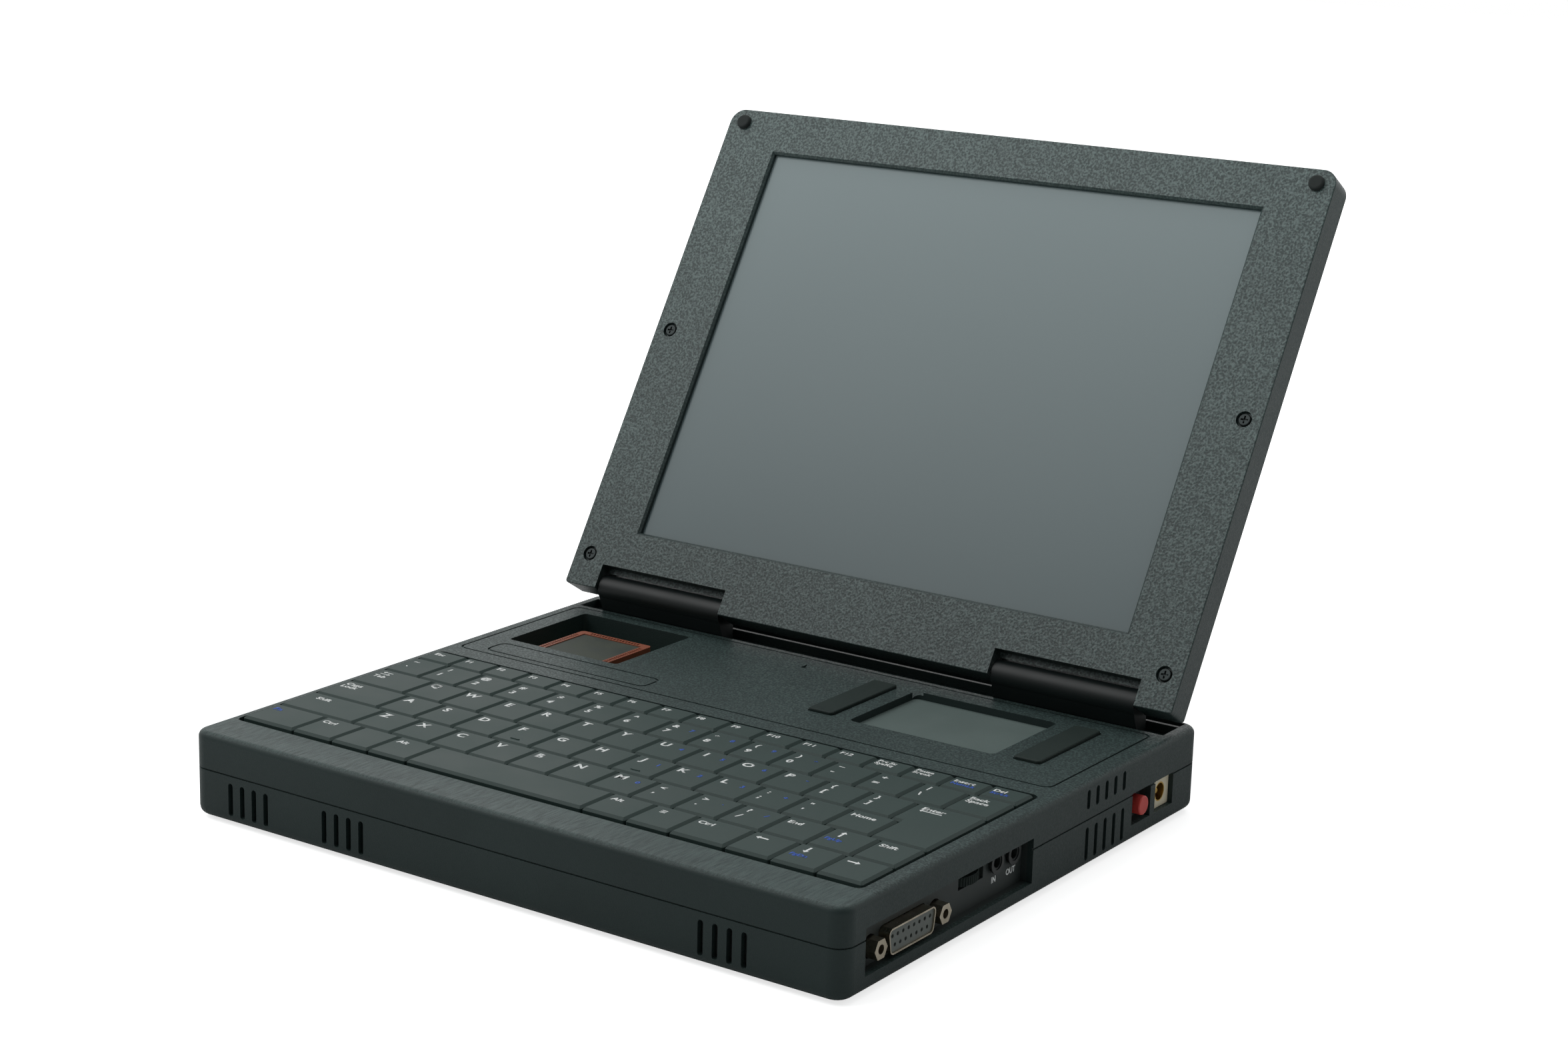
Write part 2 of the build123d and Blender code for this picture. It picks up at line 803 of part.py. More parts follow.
def game_port_insert():
    face = case_side - shell_short_of_side - insert_setback
    back = panel_back - flange_sheet
    place = side_plane(back, game_port_y, game_port_height)
    core = extrude(place * shell_sketch(shell_sheet), face - back)
    rear_tall = 2 * (case_bottom + game_port_height - main_board_top)
    core += extrude(place * Rectangle(standoff_spacing - standoff_flats, rear_tall), -insert_rear)
    for row, count in ((1, upper_sockets), (-1, upper_sockets - 1)):
        for number in range(count):
            along = (number - (count - 1) / 2) * socket_pitch
            core -= rod_x(face - socket_hole_depth, face, case_front + game_port_y + along,
                          case_bottom + game_port_height + row * socket_row_gap / 2, socket_hole_radius)
    return core


def game_port_standoffs():
    posts = []
    for from_front in standoff_places():
        outer = case_side - standoff_short_of_side
        place = side_plane(panel_back, from_front, game_port_height)
        post = extrude(place * RegularPolygon(standoff_flats / 2, 6, major_radius=False), outer - panel_back)
        post -= rod_x(outer - standoff_thread_depth, outer, case_front + from_front,
                      case_bottom + game_port_height, standoff_thread_radius)
        posts.append(post)
    return Compound(children=posts)


def audio_jacks():
    jacks = []
    for from_front in jack_positions:
        y = case_front + from_front
        z = case_bottom + jack_height
        nose = panel_face + jack_nose
        half = jack_body_width / 2
        jack = rod_x(panel_back, nose, y, z, jack_nose_radius)
        jack += block(panel_back - jack_body_length, panel_back, y - half, y + half, audio_board_top,
                      z + jack_body_rise)
        jacks.append(jack - rod_x(nose - jack_bore_depth, nose, y, z, jack_bore_radius))
    return Compound(children=jacks)


def audio_posts():
    x = panel_back - audio_board_width + 2 * post_radius
    return [(x, case_front + audio_board_front + audio_post_inset),
            (x, case_front + audio_board_back - audio_post_inset)]


def audio_board():
    return block(panel_back - audio_board_width, panel_back, case_front + audio_board_front,
                 case_front + audio_board_back, audio_board_top - board_thickness, audio_board_top)


def wheel_place():
    return panel_face + wheel_proud - wheel_radius, case_front + wheel_y


def volume_wheel():
    x, y = wheel_place()
    low = case_bottom + wheel_low
    wheel = rod_z(x, y, low, low + wheel_thickness, wheel_radius)
    wheel = chamfer(wheel.edges().filter_by(GeomType.CIRCLE), wheel_rib_depth)
    rib = Cylinder(wheel_rib_depth, 2 * wheel_thickness)
    ribs = [Pos(x, y, low) * Rot(0, 0, 360 * n / wheel_ribs) * Pos(wheel_radius, 0, 0) * rib for n in range(wheel_ribs)]
    wheel -= ribs
    return wheel - rod_z(x, y, low, low + wheel_thickness, wheel_axle_radius + wheel_axle_fit)


def wheel_potentiometer():
    x, y = wheel_place()
    half = pot_size / 2
    top = case_bottom + wheel_low - fit_gap
    body = block(x - half, x + half, y - half, y + half, audio_board_top, top)
    return body + rod_z(x, y, top, case_bottom + wheel_low + wheel_thickness, wheel_axle_radius)


def power_switch():
    half = window_width / 2
    back = inner_side - switch_body_length
    body = cup(power_y - half, power_y + half, window_low, window_high, back, panel_face)
    body &= block(back, inner_side, case_front, case_back, main_board_top, deck_z)
    middle = case_bottom + (window_low + window_high) / 2
    cap_back = case_side + cap_proud - cap_depth
    return body - rod_x(cap_back - cap_travel - running_gap, panel_face, case_front + power_y, middle,
                        cap_radius + running_gap)


def power_button():
    middle = case_bottom + (window_low + window_high) / 2
    face = case_side + cap_proud
    cap = rod_x(face - cap_depth, face, case_front + power_y, middle, cap_radius)
    return fillet(cap.faces().sort_by(Axis.X)[-1].edges(), cap_proud / 2)


def supply_jack():
    half = window_width / 2
    middle = case_bottom + (window_low + window_high) / 2
    face = case_side - supply_setback
    y = case_front + supply_y
    body = block(face - supply_length, inner_side, y - half - panel_rim, y + half, main_board_top,
                 case_bottom + window_high + panel_rim)
    body += block(inner_side - fit_gap, face, y - half + fit_gap, y + half - fit_gap,
                  case_bottom + window_low + fit_gap, case_bottom + window_high - fit_gap)
    return body - rod_x(face - supply_bore_depth, face, y, middle, supply_bore_radius)


def supply_contacts():
    middle = case_bottom + (window_low + window_high) / 2
    face = case_side - supply_setback
    y = case_front + supply_y
    bottom = face - supply_bore_depth
    liner = rod_x(bottom, face, y, middle, supply_bore_radius)
    liner -= rod_x(bottom, face, y, middle, supply_bore_radius - supply_liner)
    pin = rod_x(bottom, face - supply_pin_setback, y, middle, supply_pin_radius)
    pin = fillet(pin.faces().sort_by(Axis.X)[-1].edges(), supply_pin_radius / 2)
    return Compound(children=[liner, pin])


# Boards and blocks inside

def main_board_posts():
    inset = 2 * post_radius
    front = case_front + main_board_front + inset
    back = case_front + main_board_back - inset
    return [(-main_board_side + inset, front), (-main_board_side + inset, back), (0, front), (0, back)]


def main_board():
    low = main_board_top - main_board_thickness
    front = case_front + main_board_front
    board = block(-main_board_side, main_board_side, front, case_front + main_board_back, low, main_board_top)
    board += block(connector_board_left, panel_back - flange_sheet, case_front + connector_board_front,
                   case_front + connector_board_back, low, main_board_top)
    board += block(connector_board_left, connector_board_left + bridge_width,
                   case_front + connector_board_back, front, low, main_board_top)
    return board


def battery_pack():
    return round_block(battery_left, battery_right, case_front + battery_front, case_front + battery_back,
                       floor_z, floor_z + battery_height, battery_corner)


def storage_drive():
    front = case_front + main_board_front + drive_corner
    return round_block(drive_left, drive_left + drive_width, front, front + drive_length, main_board_top,
                       main_board_top + drive_height, drive_corner)


def heat_sink():
    y0 = case_front + sink_front
    y1 = case_front + sink_back
    base = (sink_right - sink_left) / (2 * sink_fins)
    sink = block(sink_left, sink_right, y0, y1, main_board_top, main_board_top + sink_height)
    pitch = (y1 - y0) / sink_fins
    for count in range(1, sink_fins):
        y = y0 + count * pitch
        sink -= block(sink_left, sink_right, y - pitch / 3, y + pitch / 3, main_board_top + base,
                      main_board_top + sink_height)
    return sink


def speakers():
    y0 = case_front + wall + speaker_gap
    boxes = []
    for start in (front_vent_starts[0], front_vent_starts[-1]):
        x = start + vent_pitch * (front_vent_count - 1) / 2
        x0 = max(x - speaker_width / 2, -case_side + case_screw_inset_x + case_boss_radius + running_gap)
        x1 = min(x + speaker_width / 2, case_side - case_screw_inset_x - case_boss_radius - running_gap)
        boxes.append(block(x0, x1, y0, y0 + speaker_depth, floor_z, floor_z + speaker_height))
    return Compound(children=boxes)


# Hinges. side is -1 for the left one and 1 for the right one.

def side_span(side, near, far):
    return (near, far) if side > 0 else (-far, -near)


def barrel_profile(shrink):
    # seen from the side: a round barrel with a neck down into the trough
    radius = barrel_radius - shrink
    drop = trough_floor - hinge_z
    neck = Polygon((-radius * barrel_neck_depth, -radius * barrel_neck_drop), (shrink - neck_front, drop),
                   (neck_back - shrink, drop), (radius, 0), (0, 0), align=None)
    return Circle(radius) + neck


def hinge_plane(x):
    return Plane(origin=(x, hinge_y, hinge_z), x_dir=(0, 1, 0), z_dir=(1, 0, 0))


def hinge_cover(side):
    x0, x1 = side_span(side, barrel_inner, barrel_outer)
    cover = extrude(hinge_plane(x0) * barrel_profile(0), x1 - x0)
    skin = barrel_skin
    cover -= extrude(hinge_plane(x0 + skin) * barrel_profile(skin), x1 - x0 - 2 * skin)
    outer_end = x1 if side > 0 else x0
    return cover - rod_x(outer_end - 2 * skin, outer_end + 2 * skin, hinge_y, hinge_z, pin_radius + running_gap)


def hinge_leg(side, margin):
    # the upright leg of the bracket, with a margin for the slot that it goes through
    near = barrel_outer - barrel_skin - knuckle_margin - knuckle_length
    x0, x1 = side_span(side, near - margin, near + knuckle_length + margin)
    return block(x0, x1, hinge_y + leg_front - margin, hinge_y + leg_back + margin,
                 trough_under - foot_plate_thickness, hinge_z)


def hinge_bracket(side):
    near = barrel_outer - barrel_skin - knuckle_margin - knuckle_length
    x0, x1 = side_span(side, near, near + knuckle_length)
    bracket = rod_x(x0, x1, hinge_y, hinge_z, knuckle_radius)
    bracket += hinge_leg(side, 0)
    bracket += block(x0, x1, hinge_y - foot_plate_reach, hinge_y + leg_back,
                     trough_under - foot_plate_thickness, trough_under)
    return bracket - rod_x(x0, x1, hinge_y, hinge_z, pin_radius + pin_fit)


# Lid, built flat in its own frame and then turned open

def stand_lid(piece):
    turn = Pos(0, hinge_y, hinge_z) * Rot(180 - lid_open_angle, 0, 0) * Pos(0, -hinge_in_lid, -hinge_in_w)
    return turn * piece


def notches(height, margin, w0, w1):
    cuts = []
    for side in (-1, 1):
        x0, x1 = side_span(side, notch_inner - margin, notch_outer + margin)
        cuts.append(block(x0, x1, -lid_thickness, height + margin, w0, w1))
    return cuts


def lid_slab(inset, w0, w1):
    outline = Pos(0, lid_length / 2, w0) * Rectangle(case_width - 2 * inset, lid_length - 2 * inset)
    low_corner = max(lid_low_corner - inset, lid_low_corner / 3)
    outline = fillet(outline.vertices().sort_by(Axis.Y)[:2], low_corner)
    outline = fillet(outline.vertices().sort_by(Axis.Y)[-2:], corner_radius - inset)
    return extrude(outline, w1 - w0)


def arm_block(side, margin):
    x0, x1 = side_span(side, notch_outer + wall + arm_gap - margin, notch_outer + wall + arm_gap + arm_width + margin)
    half = arm_thickness / 2 + margin
    return block(x0, x1, arm_low - margin, arm_top + margin, hinge_in_w - half, hinge_in_w + half)


def hinge_pin(side, margin):
    near = barrel_outer - barrel_skin - knuckle_margin - knuckle_length
    x0, x1 = side_span(side, near + margin, notch_outer + wall + arm_gap + arm_width / 2)
    return rod_x(x0, x1, hinge_in_lid, hinge_in_w, pin_radius + margin)


def lid_screw_places():
    return [(side * lid_screw_x, height) for side in (-1, 1) for height in lid_screw_heights]


def screen_cut(w0, w1, slope):
    x0 = screen_centre_x - screen_width / 2
    opening = block(x0, x0 + screen_width, screen_low, screen_low + screen_height, w0, w1)
    rim = Pos(screen_centre_x, screen_low + screen_height / 2, 0) * Rectangle(screen_width + 2 * slope,
                                                                           screen_height + 2 * slope)
    return opening + extrude(rim, -slope, taper=45)


def lid_bezel():
    bezel = lid_slab(0, -bezel_depth, 0)
    bezel = fillet(bezel.faces().sort_by(Axis.Z)[-1].edges(), bezel_edge_radius)
    bezel -= notches(notch_height, 0, -bezel_depth, 0)
    bezel -= lid_slab(wall, -bezel_depth, -wall) - notches(notch_height, wall, -bezel_depth, 0)
    bezel -= screen_cut(-bezel_depth, 0, screen_slope)
    for x, v in lid_screw_places():
        bezel += rod_z(x, v, hinge_in_w + arm_thickness / 2 + fit_gap / 2, -wall, lid_boss_radius)
        bezel -= rod_z(x, v, -lid_screw_head_height - lid_screw_sunk, 0, lid_screw_recess_radius)
        bezel -= rod_z(x, v, -lid_thickness, 0, lid_screw_radius)
    for side in (-1, 1):
        bezel -= arm_block(side, fit_gap / 2)
        bezel -= hinge_pin(side, fit_gap / 2)
        bezel -= rod_z(side * bumper_x, bumper_height, -bumper_recess, 0, bumper_radius)
    return bezel


def lid_back_cover():
    cover = lid_slab(0, -lid_thickness, -bezel_depth)
    cover = fillet(cover.faces().sort_by(Axis.Z)[0].edges(), cover_edge_radius)
    cover -= notches(cover_notch_height, 0, -lid_thickness, 0)
    cover -= lid_slab(wall, -lid_thickness + wall, -bezel_depth) - notches(notch_height, wall, -lid_thickness, 0)
    for x, v in lid_screw_places():
        in_arm = v < arm_top
        boss_top = hinge_in_w - arm_thickness / 2 - fit_gap / 2 if in_arm else -bezel_depth
        cover += rod_z(x, v, -lid_thickness + wall, boss_top, lid_boss_radius)
        cover -= rod_z(x, v, -lid_thickness + wall, -bezel_depth, lid_screw_radius)
    for side in (-1, 1):
        cover -= arm_block(side, fit_gap / 2)
        cover -= hinge_pin(side, fit_gap / 2)
    return cover


def display_frame():
    margin = glass_margin + display_frame_margin
    half = screen_width / 2 + margin
    top = -wall - glass_thickness
    frame = block(screen_centre_x - half, screen_centre_x + half, screen_low - margin,
                  screen_low + screen_height + margin, top - display_frame_depth, top)
    inner = half - 2 * display_frame_margin
    depth = display_frame_depth - display_frame_margin / 2
    return frame - block(screen_centre_x - inner, screen_centre_x + inner,
                         screen_low - margin + 2 * display_frame_margin,
                         screen_low + screen_height + margin - 2 * display_frame_margin, top - depth, top)


def display_glass():
    half = screen_width / 2 + glass_margin
    return block(screen_centre_x - half, screen_centre_x + half, screen_low - glass_margin,
                 screen_low + screen_height + glass_margin, -wall - glass_thickness, -wall)


def inverter_board():
    low = -lid_thickness + wall
    return block(-inverter_width / 2, inverter_width / 2, inverter_low, inverter_low + inverter_tall - 2 * wall, low,
                 low + inverter_thick)


def lid_screws():
    screws = []
    for x, v in lid_screw_places():
        top = -lid_screw_sunk
        low = top - lid_screw_head_height
        head = rod_z(x, v, low, top, lid_screw_head_radius)
        head = fillet(head.faces().sort_by(Axis.Z)[-1].edges(), lid_screw_head_height / 3)
        screw = head + rod_z(x, v, low - lid_screw_length, low, lid_screw_radius)
        screws.append(screw - cross_recess(x, v, top, 2 * cross_depth))
    return Compound(children=screws)


def lid_bumpers():
    bumpers = []
    for side in (-1, 1):
        bumper = rod_z(side * bumper_x, bumper_height, -bumper_recess, bumper_proud, bumper_radius)
        bumpers.append(fillet(bumper.faces().sort_by(Axis.Z)[-1].edges(), bumper_proud / 2))
    return Compound(children=bumpers)


def hinge_arm(side):
    arm = arm_block(side, 0) + hinge_pin(side, 0)
    for x, v in lid_screw_places():
        arm -= rod_z(x, v, -lid_thickness, 0, lid_screw_radius + fit_gap)
    return arm


nodes = {
    "bottom_case": bottom_case(),
    "top_case": top_case(),
    "rubber_feet": rubber_feet(),
    "case_screws": case_screws(),
    "keyboard_tray": keyboard_tray(),
    "processor_board": processor_board(),
    "chip_socket": chip_socket(),
    "chip_contacts": chip_contacts(),
    "chip": chip(),
    "touchpad": touchpad(),
    "touch_board": touch_board(),
    "left_click_button": click_button(left_button_x),
    "right_click_button": click_button(right_button_x),
    "port_panel": port_panel(),
    "game_port_shell": game_port_shell(),
    "game_port_insert": game_port_insert(),
    "game_port_standoffs": game_port_standoffs(),
    "audio_jacks": audio_jacks(),
    "audio_board": audio_board(),
    "volume_wheel": volume_wheel(),
    "wheel_potentiometer": wheel_potentiometer(),
    "power_switch": power_switch(),
    "power_button": power_button(),
    "supply_jack": supply_jack(),
    "supply_contacts": supply_contacts(),
    "main_board": main_board(),
    "battery_pack": battery_pack(),
    "storage_drive": storage_drive(),
    "heat_sink": heat_sink(),
    "speakers": speakers(),
    "left_hinge_cover": hinge_cover(-1),
    "right_hinge_cover": hinge_cover(1),
    "left_hinge_bracket": hinge_bracket(-1),
    "right_hinge_bracket": hinge_bracket(1),
    "left_hinge_arm": stand_lid(hinge_arm(-1)),
    "right_hinge_arm": stand_lid(hinge_arm(1)),
    "lid_bezel": stand_lid(lid_bezel()),
    "lid_back_cover": stand_lid(lid_back_cover()),
    "display_glass": stand_lid(display_glass()),
    "display_frame": stand_lid(display_frame()),
    "inverter_board": stand_lid(inverter_board()),
    "lid_screws": stand_lid(lid_screws()),
    "lid_bumpers": stand_lid(lid_bumpers()),
}
for name, caps in keys().items():
    nodes[name] = caps[0] if len(caps) == 1 else Compound(children=caps)

for name, piece in nodes.items():
    export_step(piece, f"parts/{name}.step")
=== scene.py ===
import bmesh
import bpy
import json
import math
from mathutils import Matrix, Vector

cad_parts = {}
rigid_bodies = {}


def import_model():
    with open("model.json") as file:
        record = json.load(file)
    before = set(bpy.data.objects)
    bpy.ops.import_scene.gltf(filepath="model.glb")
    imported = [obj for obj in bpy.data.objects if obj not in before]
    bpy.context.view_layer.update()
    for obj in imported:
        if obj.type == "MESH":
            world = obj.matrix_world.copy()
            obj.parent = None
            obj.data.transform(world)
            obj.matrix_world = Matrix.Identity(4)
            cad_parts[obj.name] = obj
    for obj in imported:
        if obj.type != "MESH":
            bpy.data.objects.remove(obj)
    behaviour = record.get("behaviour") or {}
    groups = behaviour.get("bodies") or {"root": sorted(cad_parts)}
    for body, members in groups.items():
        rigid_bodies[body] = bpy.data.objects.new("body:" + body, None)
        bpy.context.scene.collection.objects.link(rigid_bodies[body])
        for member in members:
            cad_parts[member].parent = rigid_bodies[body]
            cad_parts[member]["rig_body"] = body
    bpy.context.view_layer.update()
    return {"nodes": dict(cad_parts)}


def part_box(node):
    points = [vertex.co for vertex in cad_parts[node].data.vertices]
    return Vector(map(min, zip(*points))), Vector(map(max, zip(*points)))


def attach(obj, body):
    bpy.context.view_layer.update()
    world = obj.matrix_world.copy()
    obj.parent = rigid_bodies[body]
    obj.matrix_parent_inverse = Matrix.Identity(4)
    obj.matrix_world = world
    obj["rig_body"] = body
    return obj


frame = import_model()
nodes = frame["nodes"]
mm = 0.001

print("frame loaded:", len(nodes), "nodes")

# small helpers


def hexColour(text):
    # sRGB hex to the linear colour that shaders take
    parts = [int(text[i:i + 2], 16) / 255 for i in (0, 2, 4)]
    linear = [c / 12.92 if c <= 0.04045 else ((c + 0.055) / 1.055) ** 2.4 for c in parts]
    return (*linear, 1.0)


def addNode(tree, kind, values=None):
    # lower-case keys are the node's own settings
    # the others are inputs, which take a value, a socket or a node
    node = tree.nodes.new("ShaderNode" + kind)
    for key, value in (values or {}).items():
        if isinstance(value, bpy.types.Node):
            value = value.outputs[0]
        if isinstance(key, str) and key[0].islower():
            setattr(node, key, value)
        elif isinstance(value, bpy.types.NodeSocket):
            tree.links.new(value, node.inputs[key])
        else:
            node.inputs[key].default_value = value
    return node


def startMaterial(name, look):
    # a Principled surface whose even values sit on its own sockets
    material = bpy.data.materials.new(name)
    material.use_nodes = True
    tree = material.node_tree
    tree.nodes.clear()
    shader = addNode(tree, "BsdfPrincipled", {
        "Base Color": hexColour(look["colour"]),
        "Roughness": look["roughness"],
    })
    for key, socket in (("metallic", "Metallic"), ("specular", "Specular IOR Level")):
        if key in look:
            shader.inputs[socket].default_value = look[key]
    addNode(tree, "OutputMaterial", {"Surface": shader})
    place = addNode(tree, "TexCoord")
    return material, tree, shader, place


def colourByHeight(tree, shader, height, low, high, look):
    # valleys take one colour and tops the other
    # Mix node: input 0 is the factor, 2 and 3 are numbers, 6 and 7 colours; output 2 is the colour
    ramp = addNode(tree, "MapRange", {"Value": height, "From Min": low, "From Max": high})
    mix = addNode(tree, "Mix", {
        "data_type": "RGBA",
        0: ramp,
        6: hexColour(look["colour"]),
        7: hexColour(look["colour2"]),
    })
    tree.links.new(mix.outputs[2], shader.inputs["Base Color"])


def roughnessByHeight(tree, shader, height, low, high, roughLow, roughHigh):
    spread = addNode(tree, "MapRange", {
        "Value": height,
        "From Min": low,
        "From Max": high,
        "To Min": roughLow,
        "To Max": roughHigh,
    })
    tree.links.new(spread.outputs[0], shader.inputs["Roughness"])


def bumpFrom(tree, shader, height, depth, strength):
    bump = addNode(tree, "Bump", {"Height": height, "Distance": depth, "Strength": strength})
    tree.links.new(bump.outputs[0], shader.inputs["Normal"])


def facing(tree, place, direction, start, end):
    # 1 on faces that look along the direction, in the object's own frame
    dot = addNode(tree, "VectorMath", {"operation": "DOT_PRODUCT", 0: place.outputs["Normal"], 1: direction})
    return addNode(tree, "MapRange", {"Value": dot.outputs["Value"], "From Min": start, "From Max": end})


def noise(tree, place, size, detail=2.0, stretch=None):
    # size is the width of one grain in metres
    vector = place.outputs["Object"]
    if stretch:
        vector = addNode(tree, "Mapping", {"Vector": vector, "Scale": stretch})
    return addNode(tree, "TexNoise", {"Vector": vector, "Scale": 1 / size, "Detail": detail})


# camera, light and stage

view = {
    "place": (0.5264, -0.7279, 0.3221),   # metres
    "yaw": -34.38,                    # degrees
    "pitch": -14.155,
    "roll": 1.556,
    "focalPixels": 4483.0,
    "imageWidth": 2352.0,
    "sensor": 36.0,
    "clipStart": 0.01,
}


def makeCamera():
    yaw, pitch, roll = (math.radians(view[k]) for k in ("yaw", "pitch", "roll"))
    forward = Vector((math.sin(yaw) * math.cos(pitch), math.cos(yaw) * math.cos(pitch), math.sin(pitch)))
    right = forward.cross(Vector((0, 0, 1))).normalized()
    up = right.cross(forward)
    turned = math.cos(roll) * right + math.sin(roll) * up
    upTurned = math.cos(roll) * up - math.sin(roll) * right
    data = bpy.data.cameras.new("photoCamera")
    data.sensor_width = view["sensor"]
    data.lens = view["focalPixels"] / view["imageWidth"] * view["sensor"]
    data.clip_start = view["clipStart"]
    camera = bpy.data.objects.new("photoCamera", data)
    axes = Matrix((turned, upTurned, -forward)).transposed().to_4x4()
    camera.matrix_world = Matrix.Translation(view["place"]) @ axes
    bpy.context.scene.collection.objects.link(camera)
    bpy.context.scene.camera = camera


light = {
    "worldFill": 0.5,                 # what the paper gives to surfaces
    "paperSide": (-0.49, 0.72, 0.49),
    "roomLevel": 0.22,                # of the paper's light, on the camera's side
    "roomStart": -0.45,               # the dark room passes into the paper between these
    "roomEnd": 0.35,
    "lampTarget": (0, 0, 0.05),
    "overheadPower": 4.5,             # watts, a wide softbox above and behind
    "overheadPlace": (-0.25, 0.75, 1.25),
    "overheadSize": 1.3,
    "mainPower": 6.5,                 # a softbox to the front left, mirrored in the lid
    "mainPlace": (-0.7, -0.57, 1.12),
    "mainSize": 1.0,
    "floorColour": "f4f6f6",
    "nearGlow": 0.72,                 # lifts the floor to white for the camera and leaves the shadow
    "farGlow": 1.1,
    "glowStart": 0.2,                 # metres from the middle of the object
    "glowEnd": 0.6,
    "floorSize": 7.0,
}


def areaLamp(which):
    data = bpy.data.lights.new(which + "Softbox", "AREA")
    data.size = light[which + "Size"]
    data.energy = light[which + "Power"]
    lamp = bpy.data.objects.new(which + "Softbox", data)
    place = Vector(light[which + "Place"])
    direction = (Vector(light["lampTarget"]) - place).normalized()
    lamp.matrix_world = Matrix.Translation(place) @ direction.to_track_quat("-Z", "Y").to_matrix().to_4x4()
    bpy.context.scene.collection.objects.link(lamp)


def seenDirectly(tree):
    # 1 for what the camera, a mirror or clear glass sees, 0 for light that falls on surfaces
    path = addNode(tree, "LightPath")
    first = addNode(tree, "Math", {
        "operation": "MAXIMUM",
        0: path.outputs["Is Camera Ray"],
        1: path.outputs["Is Glossy Ray"],
    })
    return addNode(tree, "Math", {"operation": "MAXIMUM", 0: first, 1: path.outputs["Is Transmission Ray"]})


def makeWorld():
    # white paper behind and above, a dark room on the camera's side
    world = bpy.data.worlds.new("studio")
    bpy.context.scene.world = world
    world.use_nodes = True
    tree = world.node_tree
    tree.nodes.clear()
    direction = addNode(tree, "TexCoord").outputs["Generated"]
    towards = addNode(tree, "VectorMath", {"operation": "DOT_PRODUCT", 0: direction, 1: light["paperSide"]})
    room = addNode(tree, "MapRange", {
        "Value": towards.outputs["Value"],
        "From Min": light["roomStart"],
        "From Max": light["roomEnd"],
        "To Min": light["roomLevel"],
    })
    strength = addNode(tree, "MapRange", {"Value": seenDirectly(tree), "To Min": light["worldFill"]})
    shaded = addNode(tree, "Math", {"operation": "MULTIPLY", 0: room, 1: strength})
    cameraRay = addNode(tree, "LightPath").outputs["Is Camera Ray"]
    plain = addNode(tree, "Math", {"operation": "MAXIMUM", 0: shaded, 1: cameraRay})
    glow = addNode(tree, "Background", {"Color": (1, 1, 1, 1), "Strength": plain})
    addNode(tree, "OutputWorld", {"Surface": glow})


def paperMaterial():
    # matt white paper sweep: an even white that only darkens under the object
    paper = bpy.data.materials.new("mattPaper")
    paper.use_nodes = True
    tree = paper.node_tree
    tree.nodes.clear()
    matt = addNode(tree, "BsdfDiffuse", {"Color": hexColour(light["floorColour"])})
    place = addNode(tree, "TexCoord")
    away = addNode(tree, "VectorMath", {"operation": "LENGTH", 0: place.outputs["Object"]})
    rise = addNode(tree, "MapRange", {
        "Value": away.outputs["Value"],
        "From Min": light["glowStart"],
        "From Max": light["glowEnd"],
        "To Min": light["nearGlow"],
        "To Max": light["farGlow"],
    })
    cameraRay = addNode(tree, "LightPath").outputs["Is Camera Ray"]
    lift = addNode(tree, "Math", {"operation": "MULTIPLY", 0: rise, 1: cameraRay})
    glow = addNode(tree, "Emission", {"Color": (1, 1, 1, 1), "Strength": lift})
    both = addNode(tree, "AddShader", {0: matt, 1: glow})
    addNode(tree, "OutputMaterial", {"Surface": both})
    return paper


def makeStage():
    makeWorld()
    areaLamp("overhead")
    areaLamp("main")
    mesh = bpy.data.meshes.new("studioFloor")
    shape = bmesh.new()
    bmesh.ops.create_grid(shape, x_segments=1, y_segments=1, size=light["floorSize"] / 2)
    shape.to_mesh(mesh)
    shape.free()
    floor = bpy.data.objects.new("studioFloor", mesh)
    bpy.context.scene.collection.objects.link(floor)
    mesh.materials.append(paperMaterial())
    bpy.context.scene.view_settings.view_transform = "Standard"


makeCamera()
makeStage()
print("camera, light and floor made")

# materials

lidFace = (0.0, -0.8545, 0.5195)      # the way the screen looks, with the lid as it stands
deckFace = (0.0, 0.0, 1.0)
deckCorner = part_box("top_case")[1]    # the deck's right back corner
noiseLow = 0.3                        # a noise pattern keeps mostly between these
noiseHigh = 0.7

caseLook = {
    "colour": "263231",               # dark green-grey
    # painted highlight on the tops of the grain
    "glintColour": "425250",
    "roughness": 0.48,
    "specular": 0.2,
    "faceStart": 0.55,                # how squarely a surface looks up before it has the coarse grain
    "faceEnd": 0.95,
    "grain": 0.75 * mm,               # one pebble
    "crumble": 0.9,                   # of a pebble, the lumps on it
    "softness": 0.6,
    "fineGrain": 0.25 * mm,
    "grainDepth": 0.08 * mm,
    "bumpStrength": 1.0,
    "topStart": 0.62,                 # grain heights between which the painted highlight colour comes in
    "topEnd": 1.0,
    "cloud": 30 * mm,                 # a patch of uneven tone
    "cloudLow": 0.93,
    "cloudHigh": 1.07,
    "roughFrom": 0.35,                # grain heights between which the roughness falls
    "roughTo": 1.1,
    "hollowRough": 0.06,
    "topRough": -0.1,
}
deckLook = dict(
    caseLook,
    streakBefore=-0.0871,             # in front of this the deck has fine machined streaks
    streakWidth=0.6 * mm,
    streakStretch=(1.0, 0.12, 1.0),
    streakLevel=0.86,
    shadeBehind=deckCorner.y - 7.6 * mm,
    shadeWithin=deckCorner.x - 4.1 * mm,
    shadeLevel=0.22,
)
lidLook = dict(
    caseLook,
    # painted light: a lighter copy of the case's colours, for the light that falls full on the lid
    colour="2a3837",
    glintColour="586967",
    roughness=0.42,
    specular=0.36,
    topStart=0.58,
    topEnd=0.95,
    grain=0.85 * mm,
    grainDepth=0.12 * mm,
    # painted light: the lid's tone rises from the low factor to the high one between these heights
    litFrom=0.04,                    # metres above the floor
    litTo=0.19,
    litLow=0.8,
    litHigh=1.28,
)


